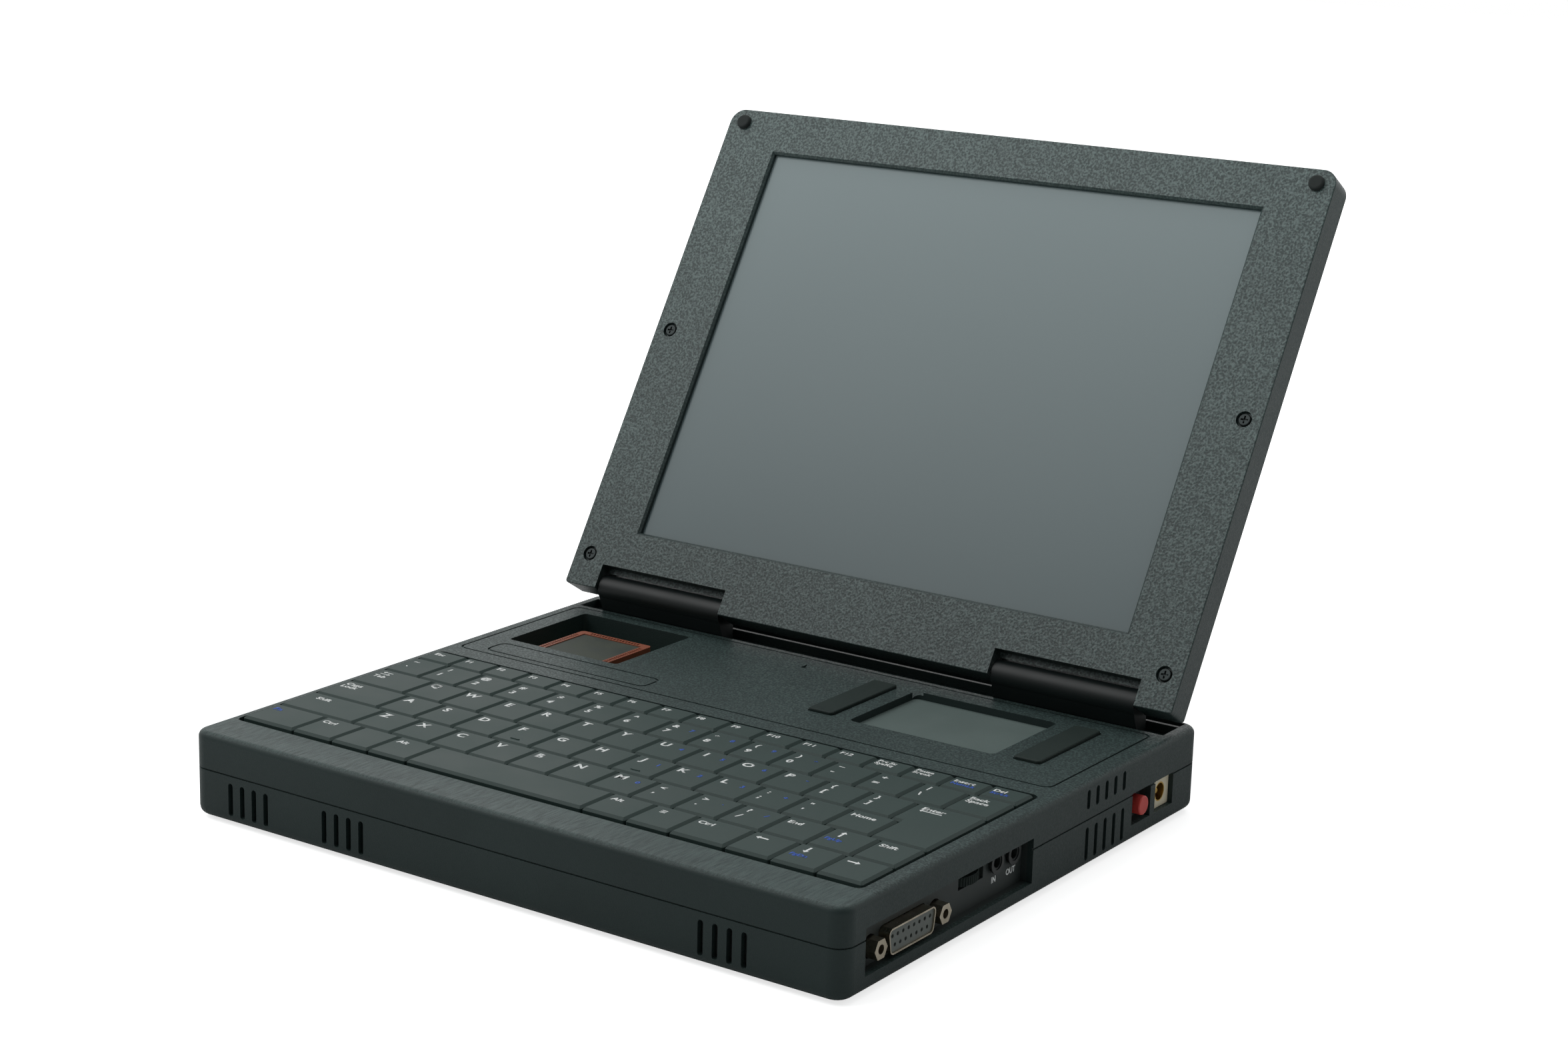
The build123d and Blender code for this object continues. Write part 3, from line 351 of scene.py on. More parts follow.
def caseGrain(tree, place, look, fine):
    # pebbles broken up by smaller lumps, with streaks from front to back in the border in front of the keys
    pebbles = addNode(tree, "TexVoronoi", {
        "feature": "SMOOTH_F1",
        "Vector": place.outputs["Object"],
        "Scale": 1 / look["grain"],
        "Smoothness": look["softness"],
    })
    crumble = noise(tree, place, look["grain"] * look["crumble"], 3.0)
    product = addNode(tree, "Math", {"operation": "MULTIPLY", 0: pebbles, 1: crumble})
    grain = addNode(tree, "Math", {"operation": "ADD", 0: product, 1: crumble})
    if "streakBefore" in look:
        streaks = noise(tree, place, look["streakWidth"], stretch=look["streakStretch"])
        both = addNode(tree, "Math", {"operation": "ADD", 0: streaks, 1: fine})
        streaked = addNode(tree, "Math", {"operation": "MULTIPLY", 0: both, 1: look["streakLevel"]})
        apart = addNode(tree, "SeparateXYZ", {"Vector": place.outputs["Object"]})
        border = addNode(tree, "Math", {
            "operation": "LESS_THAN",
            0: apart.outputs["Y"],
            1: look["streakBefore"],
        })
        grain = addNode(tree, "Mix", {"data_type": "FLOAT", 0: border, 2: grain, 3: streaked})
    return grain


def caseToneAndLight(tree, place, look, onFace):
    # broad uneven tone, as handled plastic has, with the painted light and painted shade below
    level = addNode(tree, "MapRange", {
        "Value": noise(tree, place, look["cloud"]),
        "From Min": noiseLow,
        "From Max": noiseHigh,
        "To Min": look["cloudLow"],
        "To Max": look["cloudHigh"],
    })
    apart = addNode(tree, "SeparateXYZ", {"Vector": place.outputs["Object"]})
    if "litFrom" in look:
        # painted light: the lid is made lighter towards its top
        topLight = addNode(tree, "MapRange", {
            "Value": apart.outputs["Z"],
            "From Min": look["litFrom"],
            "From Max": look["litTo"],
            "To Min": look["litLow"],
            "To Max": look["litHigh"],
        })
        level = addNode(tree, "Math", {"operation": "MULTIPLY", 0: level, 1: topLight})
    if "shadeBehind" in look:
        # the rib and the rim behind the hinges lie in the lid's shade and look nearly black
        behind = addNode(tree, "Math", {
            "operation": "GREATER_THAN",
            0: apart.outputs["Y"],
            1: look["shadeBehind"],
        })
        aside = addNode(tree, "Math", {"operation": "ABSOLUTE", 0: apart.outputs["X"]})
        within = addNode(tree, "Math", {"operation": "LESS_THAN", 0: aside, 1: look["shadeWithin"]})
        inside = addNode(tree, "Math", {"operation": "MULTIPLY", 0: behind, 1: within})
        hidden = addNode(tree, "Math", {"operation": "MULTIPLY", 0: inside, 1: onFace})
        dim = addNode(tree, "MapRange", {"Value": hidden, "To Min": 1.0, "To Max": look["shadeLevel"]})
        level = addNode(tree, "Math", {"operation": "MULTIPLY", 0: level, 1: dim})
    return level


def caseMaterial(name, direction, look):
    # textured ABS moulding: a leather-like spark-eroded grain on the face, finer on the sides, which lack the
    # painted highlight and so are darker
    material, tree, shader, place = startMaterial(name, look)
    onFace = facing(tree, place, direction, look["faceStart"], look["faceEnd"])
    fine = noise(tree, place, look["fineGrain"])
    grain = caseGrain(tree, place, look, fine)
    height = addNode(tree, "Mix", {"data_type": "FLOAT", 0: onFace, 2: fine, 3: grain})
    bumpFrom(tree, shader, height, look["grainDepth"], look["bumpStrength"])
    # painted highlight on the tops of the grain and painted shade in its hollows
    tops = addNode(tree, "MapRange", {
        "Value": grain,
        "From Min": look["topStart"],
        "From Max": look["topEnd"],
    })
    litTops = addNode(tree, "Math", {"operation": "MULTIPLY", 0: tops, 1: onFace})
    mix = addNode(tree, "Mix", {
        "data_type": "RGBA",
        0: litTops,
        6: hexColour(look["colour"]),
        7: hexColour(look["glintColour"]),
    })
    tone = addNode(tree, "VectorMath", {
        "operation": "SCALE",
        0: mix.outputs[2],
        "Scale": caseToneAndLight(tree, place, look, onFace),
    })
    tree.links.new(tone.outputs[0], shader.inputs["Base Color"])
    roughnessByHeight(tree, shader, grain, look["roughFrom"], look["roughTo"],
                      look["roughness"] + look["hollowRough"], look["roughness"] + look["topRough"])
    return material


plastic = {"cloud": 20 * mm, "bump": 0.7, "dull": 0.08}
metal = {"metallic": 1.0, "stain": 4 * mm, "stainLow": 0.35, "stainHigh": 0.65, "bump": 0.5, "dull": 0.15,
         "stretch": (1.0, 1.0, 1.0)}
laminate = {"patch": 10 * mm, "bump": 0.4, "dull": 0.12, "waver": 0.6, "gap": 0.06}


def plasticMaterial(name, given):
    # plain moulded plastic: a fine spark-eroded matt, a faint uneven tone and slightly shinier handled spots
    look = {**plastic, **given}
    material, tree, shader, place = startMaterial(name, look)
    cloud = noise(tree, place, look["cloud"], 3.0)
    bumpFrom(tree, shader, noise(tree, place, look["grain"]), look["grainDepth"], look["bump"])
    colourByHeight(tree, shader, cloud, noiseLow, noiseHigh, look)
    dulled = look["roughness"] + look["dull"]
    roughnessByHeight(tree, shader, cloud, noiseLow, noiseHigh, look["roughness"], dulled)
    return material


def metalMaterial(name, given):
    # plated or brushed metal: fine lines one way, small stains and dulled patches
    look = {**metal, **given}
    material, tree, shader, place = startMaterial(name, look)
    lines = noise(tree, place, look["grain"], stretch=look["stretch"])
    stains = noise(tree, place, look["stain"], 3.0)
    bumpFrom(tree, shader, lines, look["grainDepth"], look["bump"])
    colourByHeight(tree, shader, stains, look["stainLow"], look["stainHigh"], look)
    dulled = look["roughness"] + look["dull"]
    roughnessByHeight(tree, shader, stains, noiseLow, noiseHigh, look["roughness"], dulled)
    return material


def boardMaterial(name, given):
    # glass-fibre circuit board: green solder mask, a faint weave and bright copper tracks under it
    look = {**laminate, **given}
    material, tree, shader, place = startMaterial(name, look)
    weave = addNode(tree, "TexWave", {
        "Vector": place.outputs["Object"],
        "Scale": 1 / look["grain"],
        "Distortion": look["waver"],
    })
    tracks = addNode(tree, "TexBrick", {
        "Vector": place.outputs["Object"],
        "Scale": 1 / look["track"],
        "Mortar Size": look["gap"],
        "Color1": hexColour(look["colour"]),
        "Color2": hexColour(look["colour2"]),
        "Mortar": hexColour(look["trackColour"]),
    })
    tree.links.new(tracks.outputs["Color"], shader.inputs["Base Color"])
    bumpFrom(tree, shader, weave.outputs["Fac"], look["grainDepth"], look["bump"])
    patches = noise(tree, place, look["patch"])
    dulled = look["roughness"] + look["dull"]
    roughnessByHeight(tree, shader, patches, noiseLow, noiseHigh, look["roughness"], dulled)
    return material


def displayMaterial(name, look):
    # matt LCD front film: an even grey with a painted reflection that is lighter towards the top, leans
    # across and lies in slow uneven patches, and a very fine antiglare etch
    material, tree, shader, place = startMaterial(name, look)
    low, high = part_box("display_glass")
    apart = addNode(tree, "SeparateXYZ", {"Vector": place.outputs["Object"]})
    # painted reflection: the colour rises towards the top, leans across and wanders in broad patches
    rise = addNode(tree, "MapRange", {"Value": apart.outputs["Z"], "From Min": low.z, "From Max": high.z})
    across = addNode(tree, "MapRange", {"Value": apart.outputs["X"], "From Min": low.x, "From Max": high.x})
    lean = addNode(tree, "Math", {"operation": "MULTIPLY", 0: across, 1: look["sideways"]})
    wander = addNode(tree, "Math", {
        "operation": "MULTIPLY_ADD",
        0: noise(tree, place, look["patch"], 1.0),
        1: look["wander"],
        2: -look["wander"] / 2,
    })
    slope = addNode(tree, "Math", {"operation": "ADD", 0: rise, 1: lean})
    level = addNode(tree, "Math", {"operation": "ADD", 0: slope, 1: wander})
    colourByHeight(tree, shader, level, 0.0, look["levelTop"], look)
    bumpFrom(tree, shader, noise(tree, place, look["grain"]), look["grainDepth"], look["bump"])
    return material


def surface(colour, colour2, roughness, grain, depth, **more):
    # two tones of the same material; the grain's width and depth are given in millimetres
    return dict(more, colour=colour, colour2=colour2, roughness=roughness, grain=grain * mm,
                grainDepth=depth * mm)


looks = {
    "keyCap": surface("2c3c39", "31413e", 0.5, 0.22, 0.012, specular=0.24),
    "hingeCap": surface("0b1212", "0f1717", 0.4, 0.3, 0.006, specular=0.3),
    "portPanel": surface("2a3130", "2f3635", 0.5, 0.3, 0.02, specular=0.3),
    "clickButton": surface("222c2a", "28322f", 0.46, 0.3, 0.02, specular=0.12),
    "rubber": surface("262c2b", "2c3231", 0.72, 0.3, 0.02, specular=0.3),
    "blackSteel": surface("2c3030", "3a3f3f", 0.38, 0.2, 0.006),
    "nickel": surface("b9b09e", "a39a88", 0.24, 0.12, 0.004, stretch=(0.2, 1.0, 1.0)),
    "brass": surface("c9a95e", "b3924a", 0.3, 0.1, 0.003),
    "aluminium": surface("c4c6c7", "b4b6b8", 0.34, 0.1, 0.005, stretch=(0.1, 1.0, 1.0)),
    "board": surface("1f4a34", "22513a", 0.4, 1.2, 0.01, specular=0.45, track=2.5 * mm, trackColour="3c6e4c"),
    "socket": surface("80452f", "8d4f38", 0.5, 0.25, 0.012, specular=0.4),
    "chipCeramic": surface("2c332e", "3a4037", 0.62, 0.2, 0.015, specular=0.35, cloud=6 * mm),
    "touchFilm": surface("54625f", "5c6a67", 0.6, 0.5, 0.06, specular=0.3),
    "greyConnector": surface("5a605c", "636965", 0.5, 0.2, 0.01, specular=0.4),
    "jackNylon": surface("1d2121", "232828", 0.5, 0.2, 0.01, specular=0.4),
    "redCap": surface("b5352f", "bd3d36", 0.42, 0.2, 0.008, specular=0.45),
    "creamNylon": surface("cfc7ae", "d8d0b8", 0.45, 0.2, 0.008, specular=0.45),
    "batteryWrap": surface("33363f", "3b3e48", 0.4, 0.6, 0.03, specular=0.45),
    # painted reflection, from colour at the bottom of the screen to colour2 at its top
    "display": surface("4f6062", "869799", 0.34, 0.12, 0.003, specular=0.4, sideways=-0.06, wander=0.24,
                       patch=160 * mm, levelTop=1.15, bump=0.35),
    "whiteInk": surface("eef2f1", "e4e8e7", 0.55, 0.15, 0.004, specular=0.4, cloud=3 * mm),
    "blueInk": surface("2c55b4", "335cbb", 0.55, 0.15, 0.004, specular=0.4, cloud=3 * mm),
}

caseAbs = caseMaterial("texturedAbsCase", deckFace, deckLook)           # dark green-grey, leathery
lidAbs = caseMaterial("texturedAbsLid", lidFace, lidLook)               # the same plastic painted lighter, for the light that falls full on the lid
keyPlastic = plasticMaterial("satinPbtKeys", looks["keyCap"])           # soft low sheen, close grain
hingePlastic = plasticMaterial("smoothAbsHinge", looks["hingeCap"])     # blacker, with a soft streak of light
portPlastic = plasticMaterial("mouldedAbsPanel", looks["portPanel"])    # the case's colour, no leather
buttonPlastic = plasticMaterial("mouldedAbsButtons", looks["clickButton"])  # duller than the deck
rubber = plasticMaterial("mouldedRubber", looks["rubber"])              # dead matt, slightly grey
blackSteel = metalMaterial("blackenedSteel", looks["blackSteel"])       # dark, glints on edges only
nickel = metalMaterial("nickelPlatedSteel", looks["nickel"])            # warm silver with dulled patches
brass = metalMaterial("goldFlashedBrass", looks["brass"])               # yellow glints in the socket
aluminium = metalMaterial("brushedAluminium", looks["aluminium"])       # pale, brushed one way
board = boardMaterial("glassFibreBoard", looks["board"])                # glossy green with tracks
socketPlastic = plasticMaterial("brownPhenolicSocket", looks["socket"])     # brick brown, satin
chipCeramic = plasticMaterial("firedCeramicChip", looks["chipCeramic"])     # grey green, chalky, mottled
touchFilm = plasticMaterial("polyesterTouchFilm", looks["touchFilm"])       # matt grey, sandy
greyConnector = plasticMaterial("glassFilledNylonGrey", looks["greyConnector"])     # flat mid grey
jackNylon = plasticMaterial("nylonJackBlack", looks["jackNylon"])       # plain black with a weak sheen
redCap = plasticMaterial("redAbsCap", looks["redCap"])                  # the one bright colour, half glossy
creamNylon = plasticMaterial("creamNylonJack", looks["creamNylon"])     # warm white, waxy
batteryWrap = plasticMaterial("shrinkWrapBattery", looks["batteryWrap"])    # blue-grey, slightly wrinkled
display = displayMaterial("mattLcdFilm", looks["display"])              # even grey with a painted reflection, lighter towards the top
whiteInk = plasticMaterial("whitePadPrint", looks["whiteInk"])          # dull white ink, slightly uneven
blueInk = plasticMaterial("bluePadPrint", looks["blueInk"])             # dull blue ink

finishes = {
    caseAbs: ["bottom_case", "top_case"],
    lidAbs: ["lid_bezel", "lid_back_cover"],
    hingePlastic: ["left_hinge_cover", "right_hinge_cover"],
    keyPlastic: [n for n in nodes if n.startswith("key_") or n.endswith("_keys")],
    portPlastic: ["port_panel", "power_switch"],
    buttonPlastic: ["left_click_button", "right_click_button", "volume_wheel"],
    rubber: ["rubber_feet", "lid_bumpers"],
    blackSteel: ["case_screws", "lid_screws", "keyboard_tray", "left_hinge_bracket", "right_hinge_bracket",
                 "left_hinge_arm", "right_hinge_arm"],
    nickel: ["game_port_shell", "game_port_standoffs"],
    brass: ["chip_contacts", "supply_contacts"],
    aluminium: ["heat_sink", "storage_drive", "display_frame"],
    board: ["main_board", "processor_board", "audio_board", "touch_board", "inverter_board"],
    socketPlastic: ["chip_socket"],
    chipCeramic: ["chip"],
    touchFilm: ["touchpad"],
    greyConnector: ["game_port_insert"],
    jackNylon: ["audio_jacks", "wheel_potentiometer", "speakers"],
    redCap: ["power_button"],
    creamNylon: ["supply_jack"],
    batteryWrap: ["battery_pack"],
    display: ["display_glass"],
}

for material, names in finishes.items():
    for name in names:
        for slot in nodes[name].material_slots:
            slot.material = material
print("materials on the frame's nodes")

# key legends, with the sizes in millimetres

printing = {
    "lift": 0.02,                     # ink stands this far above the key, less half its thickness
    "thickness": 0.03,
    "capShare": 0.72,                 # height of a capital in the font's own units
    "widen": 1.12,
    "weight": 0.034,                  # thickening of the strokes, in font units
    "letter": 3.2,                    # height of a capital
    "letterX": 3.7,                   # centre of a letter from the cap's left edge
    "letterY": 4.15,                  # and from its back edge
    "digit": 2.7,
    "digitDrop": 5.3,
    "symbol": 2.4,
    "word": 2.15,
    "wordIndent": 2.0,                # start of a word from the cap's left edge
    "wordGap": 2.6,                   # from one line to the next
    "wordLow": 4.15,                  # foot of a word from the cap's back edge
    "wordHigh": 3.2,                  # and of the first of two
    "smallWord": 1.75,
    "smallAlone": 2.0,
    "smallLow": 3.6,
    "smallHigh": 2.6,
    "smallGap": 2.2,
    "smallIndent": 1.9,
    "tightIndent": 1.5,
    "smallBlueLow": 5.9,
    "fn": 2.3,
    "fnIndent": 2.4,
    "menuX": 1.2,                     # right of a letter's centre
    "menuStep": 0.8,
    "menuBar": (2.0, 0.35),
    "padX": 10.4,                     # centre of a blue number-pad mark
    "padDrop": 1.0,
    "padSize": 1.9,
    "escLow": 3.5,
    "tabArrow": (4.0, 0.35, 1.0),
    "tabArrowDrops": (-1.2, 0.5),
    "tabWordDrop": 3.0,
    "shiftIndent": 5.1,
    "enterWord": 2.3,
    "enterIndent": 3.4,
    "enterRise": 0.6,
    "enterArrow": (7.6, 0.45, 1.0),
    "enterArrowX": 7.2,
    "enterArrowDrop": 1.5,
    "cursorArrow": (4.2, 0.7, 1.3),
    "arrowX": 1.0,                    # right of a letter's centre
    "cursorBlueDrop": 4.6,
}
whitePrint = 0                        # places of the two inks in a print's materials
bluePrint = 1


def textShape(words):
    # a word as a flat filled mesh, in font units
    curve = bpy.data.curves.new("words", "FONT")
    curve.body = words
    curve.size = 1.0
    curve.offset = printing["weight"]
    curve.resolution_u = 3
    curve.fill_mode = "FRONT"
    holder = bpy.data.objects.new("words", curve)
    bpy.context.scene.collection.objects.link(holder)
    bpy.context.view_layer.update()
    mesh = bpy.data.meshes.new_from_object(holder.evaluated_get(bpy.context.evaluated_depsgraph_get()))
    bpy.data.objects.remove(holder)
    bpy.data.curves.remove(curve)
    return mesh


def keepPiece(shape, name, body, materials):
    mesh = bpy.data.meshes.new(name)
    shape.to_mesh(mesh)
    shape.free()
    for material in materials:
        mesh.materials.append(material)
    piece = bpy.data.objects.new(name, mesh)
    bpy.context.scene.collection.objects.link(piece)
    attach(piece, body)


def addTo(whole, part):
    # puts one bmesh into another
    scratch = bpy.data.meshes.new("scratch")
    part.to_mesh(scratch)
    part.free()
    whole.from_mesh(scratch)
    bpy.data.meshes.remove(scratch)


class Print:
    # gathers printed marks of one body into one mesh

    def __init__(self, name, body, slot):
        self.name = name
        self.body = body
        self.slot = slot
        self.shape = bmesh.new()

    def put(self, mesh, matrix, ink):
        # lays a flat shape down and gives it the ink's thickness
        piece = bmesh.new()
        piece.from_mesh(mesh)
        bpy.data.meshes.remove(mesh)
        bmesh.ops.remove_doubles(piece, verts=piece.verts, dist=1e-6)
        bmesh.ops.transform(piece, matrix=matrix, verts=piece.verts)
        grown = bmesh.ops.extrude_face_region(piece, geom=piece.faces[:])
        risen = [g for g in grown["geom"] if isinstance(g, bmesh.types.BMVert)]
        up = (matrix.to_3x3() @ Vector((0, 0, 1))).normalized() * printing["thickness"] * mm
        bmesh.ops.translate(piece, verts=risen, vec=up)
        bmesh.ops.recalc_face_normals(piece, faces=piece.faces)
        for face in piece.faces:
            face.material_index = ink
        addTo(self.shape, piece)

    def words(self, text, x, y, z, height, ink=whitePrint, align="centre"):
        # the place is in metres and the height of a capital in millimetres
        mesh = textShape(text)
        xs = [v.co.x for v in mesh.vertices]
        ys = [v.co.y for v in mesh.vertices]
        scale = height * mm / printing["capShare"]
        wide = scale * printing["widen"]
        midX = (min(xs) + max(xs)) / 2 if align == "centre" else min(xs)
        midY = (min(ys) + max(ys)) / 2 if len(text) == 1 else printing["capShare"] / 2
        place = Matrix.Translation((x - midX * wide, y - midY * scale, z))
        self.put(mesh, place @ Matrix.Diagonal((wide, scale, scale, 1)), ink)

    def lines(self, texts, corner, height, low, gap=0.0, indent=printing["wordIndent"], ink=whitePrint):
        # words from the left, below one another; the corner is the cap's left back top one
        for number, text in enumerate(texts):
            y = corner.y - (low + number * gap) * mm
            self.words(text, corner.x + indent * mm, y, corner.z, height, ink, align="left")

    def drawn(self, shape, x, y, z, turn=0.0):
        # a mark drawn as a flat bmesh, in metres
        mesh = bpy.data.meshes.new("mark")
        shape.to_mesh(mesh)
        shape.free()
        turned = Matrix.Rotation(math.radians(turn), 4, "Z")
        self.put(mesh, Matrix.Translation((x, y, z)) @ turned, whitePrint)

    def finish(self, inks):
        keepPiece(self.shape, self.name, self.body, inks)


def capBoxes(name):
    # the corners of each cap in a node of key caps, from left to right
    shape = bmesh.new()
    shape.from_mesh(nodes[name].data)
    bmesh.ops.remove_doubles(shape, verts=shape.verts, dist=1e-5)
    seen = set()
    boxes = []
    for start in shape.verts:
        if start.index in seen:
            continue
        seen.add(start.index)
        todo = [start]
        island = []
        while todo:
            vert = todo.pop()
            island.append(vert.co.copy())
            for edge in vert.link_edges:
                other = edge.other_vert(vert)
                if other.index not in seen:
                    seen.add(other.index)
                    todo.append(other)
        boxes.append((Vector(tuple(min(c[i] for c in island) for i in range(3))),
                      Vector(tuple(max(c[i] for c in island) for i in range(3)))))
    shape.free()
    return sorted(boxes, key=lambda box: box[0].x)


def flatPolygon(points):
    # one flat face through a few corners, in millimetres
    shape = bmesh.new()
    verts = [shape.verts.new((x * mm, y * mm, 0)) for x, y in points]
    shape.faces.new(verts)
    return shape


def arrowMark(length, shaft, head):
    # an arrow that points along x
    half = length / 2
    tip = half - head
    barb = head * 0.8
    return flatPolygon([(-half, -shaft / 2), (tip, -shaft / 2), (tip, -barb), (half, 0), (tip, barb),
                        (tip, shaft / 2), (-half, shaft / 2)])


def barMark(width, depth):
    return flatPolygon([(-width / 2, -depth / 2), (width / 2, -depth / 2), (width / 2, depth / 2),
                        (-width / 2, depth / 2)])


# one entry for each cap from the left: a letter, a pair (front mark, back mark), words in one or two lines,
# or nothing on a bare cap
rowMarks = {
    "function_row_keys": [["F1"], ["F2"], ["F3"], ["F4"], ["F5"], ["F6"], ["F7"], ["F8"], ["F9"], ["F10"],
                          ["F11"], ["F12"], ["Prt Sc", "SysRq"], ["Pause", "Break"], ["Insert"], ["Del"]],
    "number_row_keys": [("`", "~"), ("1", "!"), ("2", "@"), ("3", "#"), ("4", "$"), ("5", "%"), ("6", "^"),
                        ("7", "&"), ("8", "*"), ("9", "("), ("0", ")"), ("-", "_"), ("=", "+"), ("\\", "|"),
                        ["Back", "Space"]],
    "upper_letter_keys": list("QWERTYUIOP") + [("[", "{"), ("]", "}")],
    "middle_letter_keys": list("ASDFGHJKL") + [(";", ":"), ("'", '"'), ["Home"]],
    "lower_letter_keys": list("ZXCVBNM") + [(",", "<"), (".", ">"), ("/", "?"), ["End"]],
    "bottom_row_keys": ["fn", ["Ctrl"], None, ["Alt"], ["Alt"], "menu", ["Ctrl"]],
}
padMarks = {
    "number_row_keys": {7: "7", 8: "8", 9: "9", 10: "*"},
    "upper_letter_keys": {6: "4", 7: "5", 8: "6", 9: "-"},
    "middle_letter_keys": {6: "1", 7: "2", 8: "3", 9: "+"},
    "lower_letter_keys": {6: "0", 8: ".", 9: "/"},
}
smallBlue = {"Insert": "NumLk", "Del": "ScrLk"}
keyBodies = {n: nodes[n]["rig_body"] for n in nodes if n.startswith("key_") or n.endswith("_keys")}
p = printing                          # a short name, as nearly every line below reads it


def topCorner(low, high):
    # where print lies: the left back corner of a cap, at the ink's height
    return Vector((low.x, high.y, high.z + (p["lift"] - p["thickness"] / 2) * mm))


def printSmall(marks, entry, corner):
    # a key of the back row
    if len(entry) == 1:
        marks.lines(entry, corner, p["smallAlone"], p["smallLow"], indent=p["smallIndent"])
    else:
        marks.lines(entry, corner, p["smallWord"], p["smallHigh"], p["smallGap"], p["tightIndent"])
    if entry[0] in smallBlue:
        marks.lines([smallBlue[entry[0]]], corner, p["smallWord"], p["smallBlueLow"], indent=p["smallIndent"],
                    ink=bluePrint)


def printEntry(marks, entry, corner):
    x = corner.x + p["letterX"] * mm
    y = corner.y - p["letterY"] * mm
    if entry == "fn":
        marks.lines(["Fn"], corner, p["fn"], p["letterY"], indent=p["fnIndent"], ink=bluePrint)
    elif entry == "menu":
        for step in (-p["menuStep"], 0.0, p["menuStep"]):
            marks.drawn(barMark(*p["menuBar"]), x + p["menuX"] * mm, y + step * mm, corner.z)
    elif isinstance(entry, list):
        low = p["wordLow"] if len(entry) == 1 else p["wordHigh"]
        marks.lines(entry, corner, p["word"], low, p["wordGap"])
    elif isinstance(entry, tuple):
        marks.words(entry[1], x, y, corner.z, p["symbol"])
        marks.words(entry[0], x, y - p["digitDrop"] * mm, corner.z, p["digit"])
    elif entry:
        marks.words(entry, x, y, corner.z, p["letter"])


def printRows():
    for name, entries in rowMarks.items():
        marks = Print(name.replace("_keys", "_legends"), keyBodies[name], "key_plastic")
        for number, (box, entry) in enumerate(zip(capBoxes(name), entries)):
            corner = topCorner(*box)
            if name == "function_row_keys":
                printSmall(marks, entry, corner)
            else:
                printEntry(marks, entry, corner)
            blue = padMarks.get(name, {}).get(number)
            if blue:
                y = corner.y - (p["letterY"] + p["padDrop"]) * mm
                marks.words(blue, corner.x + p["padX"] * mm, y, corner.z, p["padSize"], bluePrint)
        marks.finish([whiteInk, blueInk])


def printTab(marks, corner, x, y):
    for drop, turn in zip(p["tabArrowDrops"], (180, 0)):
        marks.drawn(arrowMark(*p["tabArrow"]), x + p["arrowX"] * mm, y - drop * mm, corner.z, turn)
    marks.lines(["Tab"], corner, p["word"], p["letterY"] + p["tabWordDrop"])


def printEnter(marks, corner, x, y):
    marks.lines(["Enter"], corner, p["enterWord"], p["letterY"] - p["enterRise"], indent=p["enterIndent"])
    marks.drawn(arrowMark(*p["enterArrow"]), corner.x + p["enterArrowX"] * mm, y - p["enterArrowDrop"] * mm,
                corner.z, 180)


cursorTurns = {"key_up": 90, "key_left": 180, "key_down": -90, "key_right": 0}
cursorBlue = {"key_up": "PgUp", "key_down": "PgDn"}


def printCursor(marks, name, corner, x, y):
    marks.drawn(arrowMark(*p["cursorArrow"]), x + p["arrowX"] * mm, y, corner.z, cursorTurns[name])
    if name in cursorBlue:
        low = p["letterY"] + p["cursorBlueDrop"]
        marks.lines([cursorBlue[name]], corner, p["smallWord"], low, ink=bluePrint)


def printSingleKeys():
    for name, body in keyBodies.items():
        if not name.startswith("key_") or name == "key_space":
            continue
        corner = topCorner(*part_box(name))
        x = corner.x + p["letterX"] * mm
        y = corner.y - p["letterY"] * mm
        marks = Print(name + "_legend", body, "key_plastic")
        if name == "key_esc":
            marks.lines(["Esc"], corner, p["smallAlone"], p["escLow"])
        elif name == "key_tab":
            printTab(marks, corner, x, y)
        elif name == "key_caps_lock":
            marks.lines(["Caps", "Lock"], corner, p["word"], p["wordHigh"], p["wordGap"])
        elif name == "key_left_shift":
            marks.lines(["Shift"], corner, p["word"], p["wordLow"], indent=p["shiftIndent"])
        elif name == "key_right_shift":
            marks.lines(["Shift"], corner, p["word"], p["wordLow"])
        elif name == "key_enter":
            printEnter(marks, corner, x, y)
        else:
            printCursor(marks, name, corner, x, y)
        marks.finish([whiteInk, blueInk])


printRows()
printSingleKeys()
print("key legends printed")

# small details, with the sizes in millimetres

homing = {"width": 3.4, "depth": 0.55, "height": 0.28, "fromFront": 3.0, "edge": 0.12, "keys": (3, 6)}


def homingBars():
    # raised bars under the index fingers, on F and J
    shape = bmesh.new()
    caps = capBoxes("middle_letter_keys")
    for number in homing["keys"]:
        low, high = caps[number]
        centre = Matrix.Translation(((low.x + high.x) / 2, low.y + homing["fromFront"] * mm, high.z))
        size = Matrix.Diagonal((homing["width"] * mm, homing["depth"] * mm, 2 * homing["height"] * mm, 1))
        made = bmesh.ops.create_cube(shape, size=1, matrix=centre @ size)
        edges = {e for v in made["verts"] for e in v.link_edges}
        bmesh.ops.bevel(shape, geom=list(edges), offset=homing["edge"] * mm, affect="EDGES", segments=2,
                        profile=0.5, material=-1)
    keepPiece(shape, "homing_bars", keyBodies["middle_letter_keys"], [keyPlastic])


jack = {
    "half": 3.2,                      # half of a jack's body
    "axisDrop": 3.2,                  # its bore below the top of the body
    "outer": 3.55,                    # collar
    "inner": 2.35,
    "thickness": 0.45,
    "sunk": 0.1,
    "segments": 40,
    "word": 1.9,                      # height of the words under the jacks
    "wordDrop": 5.6,
    "wordWiden": 0.95,
    "panelFace": 117.9,               # from the case's middle, 4 mm behind its side
}


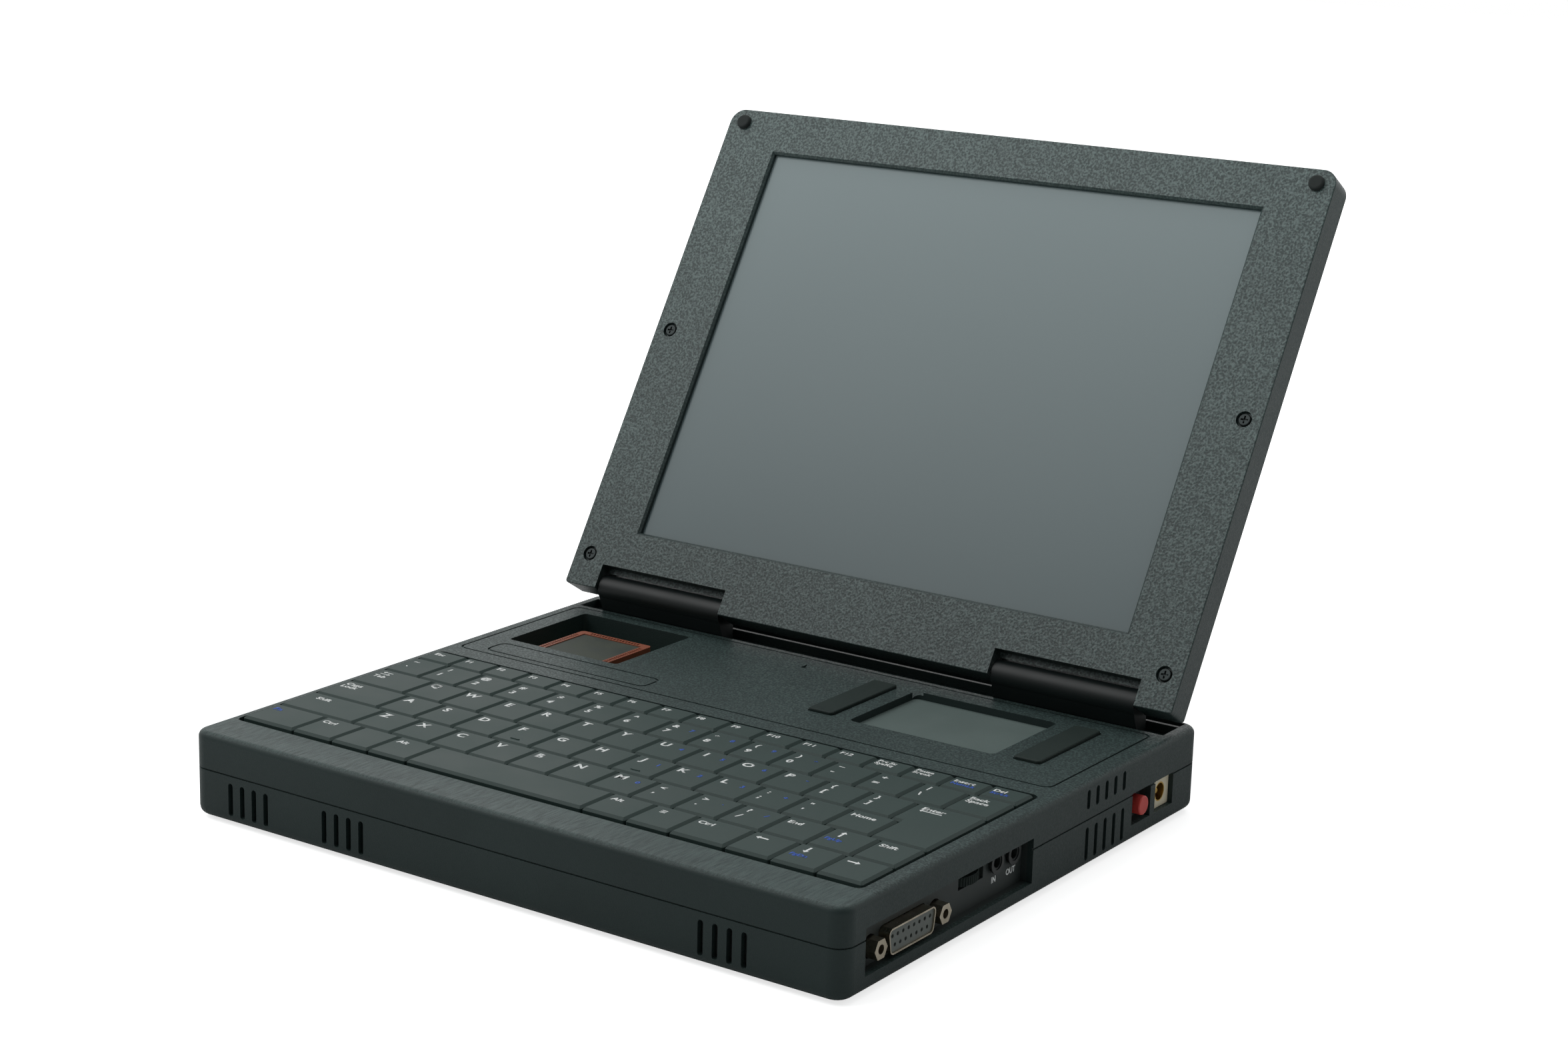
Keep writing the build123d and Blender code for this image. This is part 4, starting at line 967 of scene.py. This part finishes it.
def ringSolid(outer, inner, thickness, segments):
    # a washer made by turning a small rectangle about its axis
    shape = bmesh.new()
    corners = [(inner, 0), (outer, 0), (outer, thickness), (inner, thickness)]
    verts = [shape.verts.new((r * mm, 0, h * mm)) for r, h in corners]
    edges = [shape.edges.new((verts[i], verts[(i + 1) % 4])) for i in range(4)]
    bmesh.ops.spin(shape, geom=verts + edges, cent=(0, 0, 0), axis=(0, 0, 1), angle=math.tau, steps=segments,
                   use_merge=True)
    return shape


def jackRings():
    # dark collars round the audio jacks
    low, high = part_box("audio_jacks")
    shape = bmesh.new()
    turn = Matrix.Rotation(math.radians(90), 4, "Y")
    for y in (low.y + jack["half"] * mm, high.y - jack["half"] * mm):
        ring = ringSolid(jack["outer"], jack["inner"], jack["thickness"], jack["segments"])
        place = Matrix.Translation((high.x - jack["sunk"] * mm, y, high.z - jack["axisDrop"] * mm))
        bmesh.ops.transform(ring, matrix=place @ turn, verts=ring.verts)
        bmesh.ops.recalc_face_normals(ring, faces=ring.faces)
        addTo(shape, ring)
    keepPiece(shape, "jack_rings", "case", [jackNylon])


def jackWords():
    # plain words under the jacks, printed on the panel's face
    low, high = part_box("audio_jacks")
    marks = Print("jack_words", "case", "port_plastic")
    upright = Matrix(((0, 0, 1, 0), (1, 0, 0, 0), (0, 1, 0, 0), (0, 0, 0, 1)))
    for words, y in (("IN", low.y + jack["half"] * mm), ("OUT", high.y - jack["half"] * mm)):
        mesh = textShape(words)
        xs = [v.co.x for v in mesh.vertices]
        scale = jack["word"] * mm / p["capShare"]
        centred = Matrix.Translation((-(min(xs) + max(xs)) / 2, -p["capShare"] / 2, 0))
        drop = (jack["axisDrop"] + jack["wordDrop"]) * mm
        place = Matrix.Translation((jack["panelFace"] * mm, y, high.z - drop))
        size = Matrix.Diagonal((scale * jack["wordWiden"], scale, scale, 1))
        marks.put(mesh, place @ upright @ size @ centred, whitePrint)
    marks.finish([whiteInk])


chipMark = {"radius": 0.9, "fromFront": 3.4, "segments": 24}


def chipDot():
    # pin-one dot on the chip, at the middle of its front side
    low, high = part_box("chip")
    marks = Print("chip_dot", "case", "chip_ceramic")
    dot = bmesh.new()
    bmesh.ops.create_circle(dot, cap_ends=True, radius=chipMark["radius"] * mm, segments=chipMark["segments"])
    marks.drawn(dot, (low.x + high.x) / 2, low.y + chipMark["fromFront"] * mm, high.z)
    marks.finish([jackNylon])


homingBars()
jackRings()
chipDot()
jackWords()
print("small details made")
